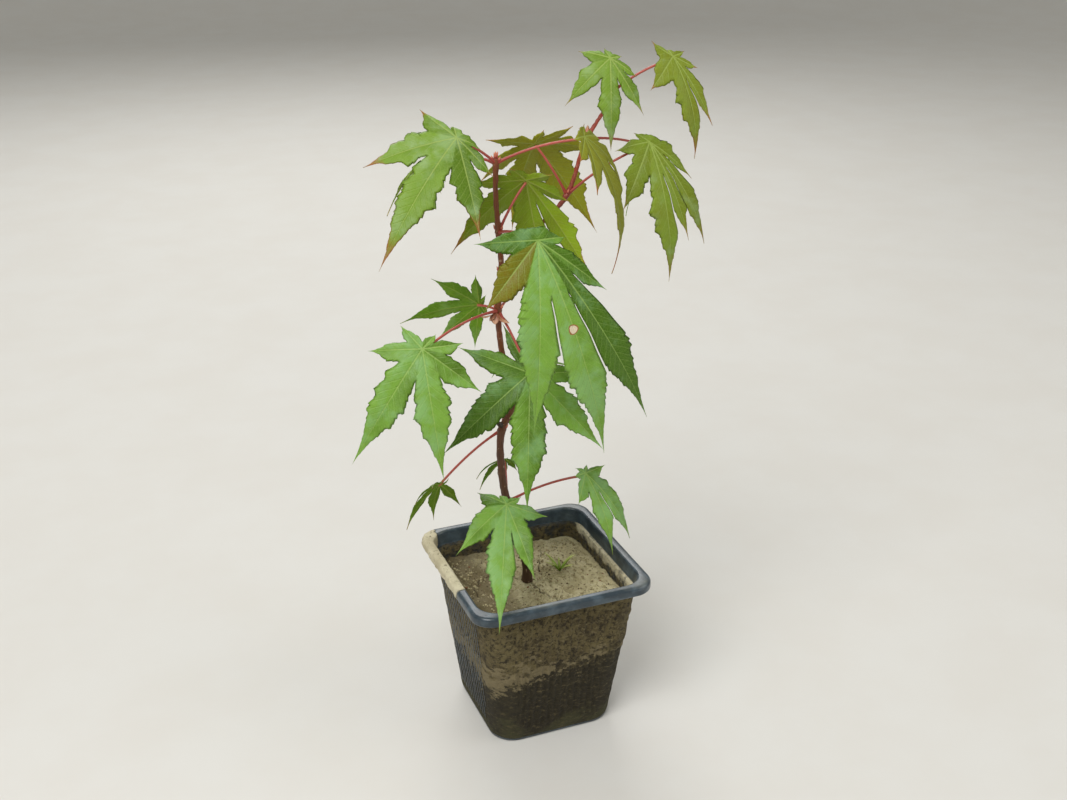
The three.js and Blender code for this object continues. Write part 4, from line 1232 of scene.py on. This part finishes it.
AXIL_BUD = (2.3, 0.62)  # length and girth
TIP_BUD = (3.0, 0.7)
SCALE_EDGE = 0.08  # of a bud's radius, how far the edges of its scales stand out
SCALE_TURNS = 18  # radians of the wave that those edges follow along the bud
STEM_AXIL = (0.55, -0.6)  # X and Y of one bud's way out, and the other's is the opposite
BRANCH_AXIL = (0.55, 0.7)
TIP_LEANS = ((0.35, 0.15, 0), (-0.35, -0.2, 0), (0, 0.1, 0.1))
STUB_REACH = (0.4, 4.6)  # from the stem's middle line to the dead stub's foot and end
STUB_RADII = (1.15, 0.8)
STUB_WAY = (-0.8, -0.45, 0.75)
STUB_STEPS = 24
TUFT_STEPS = 16
TUFT_COLUMNS = np.array([-1, -0.5, 0, 0.5, 1])
TUFT_THICKNESS = 0.18
SPRIG_PLACE = np.array([13.0, 1.5])


def bud(base, way, length, girth, sides=12, rows=14):
    """A pointed bud: a skin of revolution whose radius rises fast and draws out to a point,
    with the edges of its scales as faint rings."""
    share = np.linspace(0, 1, rows)
    radii = girth * np.sin(math.pi * share**0.6) ** 0.8 * (1 - 0.35 * share)
    radii = radii * (1 + SCALE_EDGE * np.sin(share * SCALE_TURNS)) + 0.02
    path = np.array(base) + unit(np.array(way, float)) * (length * share)[:, None]
    points, faces = tube(path, radii, sides, across=unit(np.cross(way, [0.3, 0.7, 0.2])))
    return points, faces, np.repeat(share, sides)


def make_buds():
    """Red buds in the leaf axils and at the tips, and one dead stub at the kink."""
    red = bud_skin("red_bud_scales", "#a03a34", "#d98a6a")
    parts, ripes = [], []

    def add(base, way, length, girth):
        """Adds one bud."""
        points, faces, ripe = bud(base, way, length, girth)
        parts.append((points, faces))
        ripes.append(ripe)

    for name, height in list(STEM_NODES.items()) + list(BRANCH_NODES.items()):
        on_stem = name in STEM_NODES
        point, tangent = at_height(stem_path if on_stem else branch_path, height)
        radius = (stem_radius if on_stem else branch_radius)(np.array(height))
        x, y = STEM_AXIL if on_stem else BRANCH_AXIL
        for side in (1, -1):
            out = np.array([x * side, y * side, 0.1])
            way = unit(out) * 0.6 + tangent
            add(point + unit(out) * radius * 0.75 + tangent * 0.8, way, *AXIL_BUD)
    for path in (stem_path, branch_path):
        tip = path[-1]
        way = unit(path[-1] - path[-6])
        for lean in TIP_LEANS:
            add(tip - way * 0.3, way + np.array(lean), *TIP_BUD)
    points, faces = join(parts)
    make_piece("red_buds", points, faces, [red], values={"ripe": np.concatenate(ripes)})

    point, _ = at_height(stem_path, STEM_NODES["kink"] + 1.5)
    line = point + np.linspace(*STUB_REACH, STUB_STEPS)[:, None] * unit(np.array(STUB_WAY))
    line, radii = capped(line, np.linspace(*STUB_RADII, STUB_STEPS))
    points, faces = tube(line, radii, 20, relief=lambda angle, p: 0.08 * ripple(p, 0.8, 61))
    dead = bark_skin("dead_stub_wood", "#2d211b", "#40312a", low_height=130, high_height=146,
                     pores=0.2)
    make_piece("dead_stub", points, faces, [dead])


def make_tuft(name, base, blades, seed, length, width, material, rise=1):
    """A tuft of small folded blades: each is a grid whose half width swells and narrows
    along a path that bends outwards. width is its half width per millimetre of length, and
    a rise below 0 lets the tuft hang."""
    rng = np.random.default_rng(seed)
    share = np.linspace(0, 1, TUFT_STEPS)[:, None]
    fold = np.abs(TUFT_COLUMNS)[None, :, None]
    swelling = np.sin(math.pi * share**0.8)
    rounding = (1 - TUFT_COLUMNS**4)[None, :, None] * np.sin(math.pi * share)[..., None]
    parts = []
    for number in range(blades):
        turn = 2 * math.pi * number / blades + rng.uniform(-0.4, 0.4)
        out = np.array([math.cos(turn), math.sin(turn), 0])
        reach = length * rng.uniform(0.6, 1.1)
        bend = rng.uniform(0.3, 0.9)
        lift = np.array([0, 0, rise]) * (share - 0.55 * bend * share**2)
        path = np.array(base) + reach * (out * bend * share**1.4 + lift)
        half = reach * width * swelling + 0.05
        middle = path[:, None] + np.cross(out, [0, 0, 1]) * (half * TUFT_COLUMNS)[..., None]
        middle = middle + (out - [0, 0, 0.3]) * (0.5 * half[..., None] * fold)
        for skin in (1, -1):
            faces = grid_faces(TUFT_STEPS, len(TUFT_COLUMNS))
            points = middle + skin * TUFT_THICKNESS / 2 * rounding * out
            parts.append((points.reshape(-1, 3), faces[:, ::-1] if skin * rise > 0 else faces))
    points, faces = join(parts)
    ripe = np.tile(np.repeat(share[:, 0], len(TUFT_COLUMNS)), 2 * blades)
    make_piece(name, points, faces, [material], values={"ripe": ripe})


def make_tufts():
    """The unfolding leaves halfway up the branch, the dried bud scales that hang at the
    stem's middle node, and the green sprig on the soil."""
    node, _ = at_height(branch_path, BRANCH_NODES["branchMiddle"])
    make_tuft("unfolding_leaves", node, blades=5, seed=51, length=6.5, width=0.16,
              material=bud_skin("unfolding_leaf", "#bf5f5c", "#cf9a76"))
    node, _ = at_height(stem_path, STEM_NODES["middle"] - 0.5)
    make_tuft("dried_bud_scales", node + [-1.6, -1.4, 0.5], blades=6, seed=53, length=8,
              width=0.23, material=bud_skin("dried_bud_scale", "#a5684c", "#d6a283"),
              rise=-0.7)
    top, _ = soil_height(*SPRIG_PLACE[:, None])
    make_tuft("soil_sprig", (*SPRIG_PLACE, top[0] - 0.3), blades=9, seed=52, length=12,
              width=0.07, material=bud_skin("seedling_green", "#7b9a34", "#b4bd62"))


# Stage

FLOOR_REACH = 2000
FLOOR_RISE = 1200
FLOOR_SIDES = 48
SKY_STRENGTH = 0.4
LAMPS = (  # name, place in metres, width in metres and power in watts
    ("key_lamp", (-0.7, -0.6, 1.3), 0.8, 16.5),
    ("fill_lamp", (1.1, -0.7, 0.7), 1.0, 4),
    ("back_lamp", (0.2, 1.1, 1.0), 0.8, 8),
)
LAMP_TARGET = (0, 0, 0.16)
CAMERA_PLACE = (-0.191, -0.474, 0.374)
CAMERA_TARGET = (0.0, 0.0, 0.147)
LENS = 46


def facing(place, target):
    """The turns about X and Z that make a lamp or camera at a place look at the target. It
    looks down at first: it tips up by its angle from straight down, then turns about Z."""
    x, y, z = np.array(place) - np.array(target)
    return math.atan2(math.hypot(x, y), z), 0, math.atan2(x, -y)


def make_stage():
    """A plain pale floor that rises softly at its far edge all round, soft light from a wide
    lamp above and one at each side, and a pale sky."""
    turn = np.linspace(0, 2 * math.pi, FLOOR_SIDES, endpoint=False)
    bend = np.linspace(math.pi / 2, 0, 16)
    level = np.linspace(FLOOR_REACH, 1, 12)[1:]
    reach = np.append(FLOOR_REACH + FLOOR_RISE * np.sin(bend), level)
    lift = np.append(FLOOR_RISE * (1 - np.cos(bend)), 0 * level)
    points = np.stack([np.outer(reach, np.cos(turn)), np.outer(reach, np.sin(turn)),
                       np.outer(lift, np.ones_like(turn))], -1)
    faces = grid_faces(len(reach), len(turn), closed=True).tolist()
    faces.append(list(range(FLOOR_SIDES * (len(reach) - 1), FLOOR_SIDES * len(reach))))
    mesh = bpy.data.meshes.new("studio_floor")
    mesh.from_pydata((points.reshape(-1, 3) * MM).tolist(), [], faces)
    mesh.shade_smooth()
    material, tree, shader, place = new_material("pale_paper_floor")
    soft = speckle(tree, place, 60)
    colour = paint(tree, "#d8d5ce", (soft, 0.3, 0.7, 1, "#dad8d2"))
    finish_shader(tree, shader, colour, (soft, 0, 1, 0.9, 0.95), [(soft, 1)], 0.1, 1.45)
    mesh.materials.append(material)
    floor = bpy.data.objects.new("studio_floor", mesh)
    bpy.context.scene.collection.objects.link(floor)

    world = bpy.data.worlds.new("pale_sky")
    world.use_nodes = True
    sky = world.node_tree.nodes["Background"].inputs
    sky["Color"].default_value = linear("#eeeeea")
    sky["Strength"].default_value = SKY_STRENGTH
    bpy.context.scene.world = world
    for name, place, width, power in LAMPS:
        lamp = bpy.data.lights.new(name, "AREA")
        lamp.energy = power
        lamp.size = width
        holder = bpy.data.objects.new(name, lamp)
        holder.location = place
        holder.rotation_euler = facing(place, LAMP_TARGET)
        bpy.context.scene.collection.objects.link(holder)


def make_camera():
    """The camera that took the photo, as far as the pot's rim and the ground tell it."""
    camera = bpy.data.cameras.new("photo_camera")
    camera.lens = LENS
    camera.sensor_width = 36
    camera.clip_start = 0.01
    holder = bpy.data.objects.new("photo_camera", camera)
    holder.location = CAMERA_PLACE
    holder.rotation_euler = facing(CAMERA_PLACE, CAMERA_TARGET)
    bpy.context.scene.collection.objects.link(holder)
    bpy.context.scene.camera = holder
    bpy.context.scene.view_settings.view_transform = "Standard"


make_camera()
make_stage()
make_pot()
make_soil()
scatter("sand_grains", count=1300, sizes=(0.25, 0.8), seed=41,
        material=grit_skin("pale_sand", "#b5aa82", "#8f8360", roughness=0.85))
scatter("dark_crumbs", count=260, sizes=(0.2, 0.6), seed=42,
        material=grit_skin("dark_bark_crumbs", "#4a3c26", "#64553a", roughness=0.9))
scatter("brick_grit", count=40, sizes=(0.3, 0.6), seed=43,
        material=grit_skin("orange_brick_grit", "#8a5a38", "#7a4f34", roughness=0.8))
grow_limbs()
grow_leaves()
make_buds()
make_tufts()
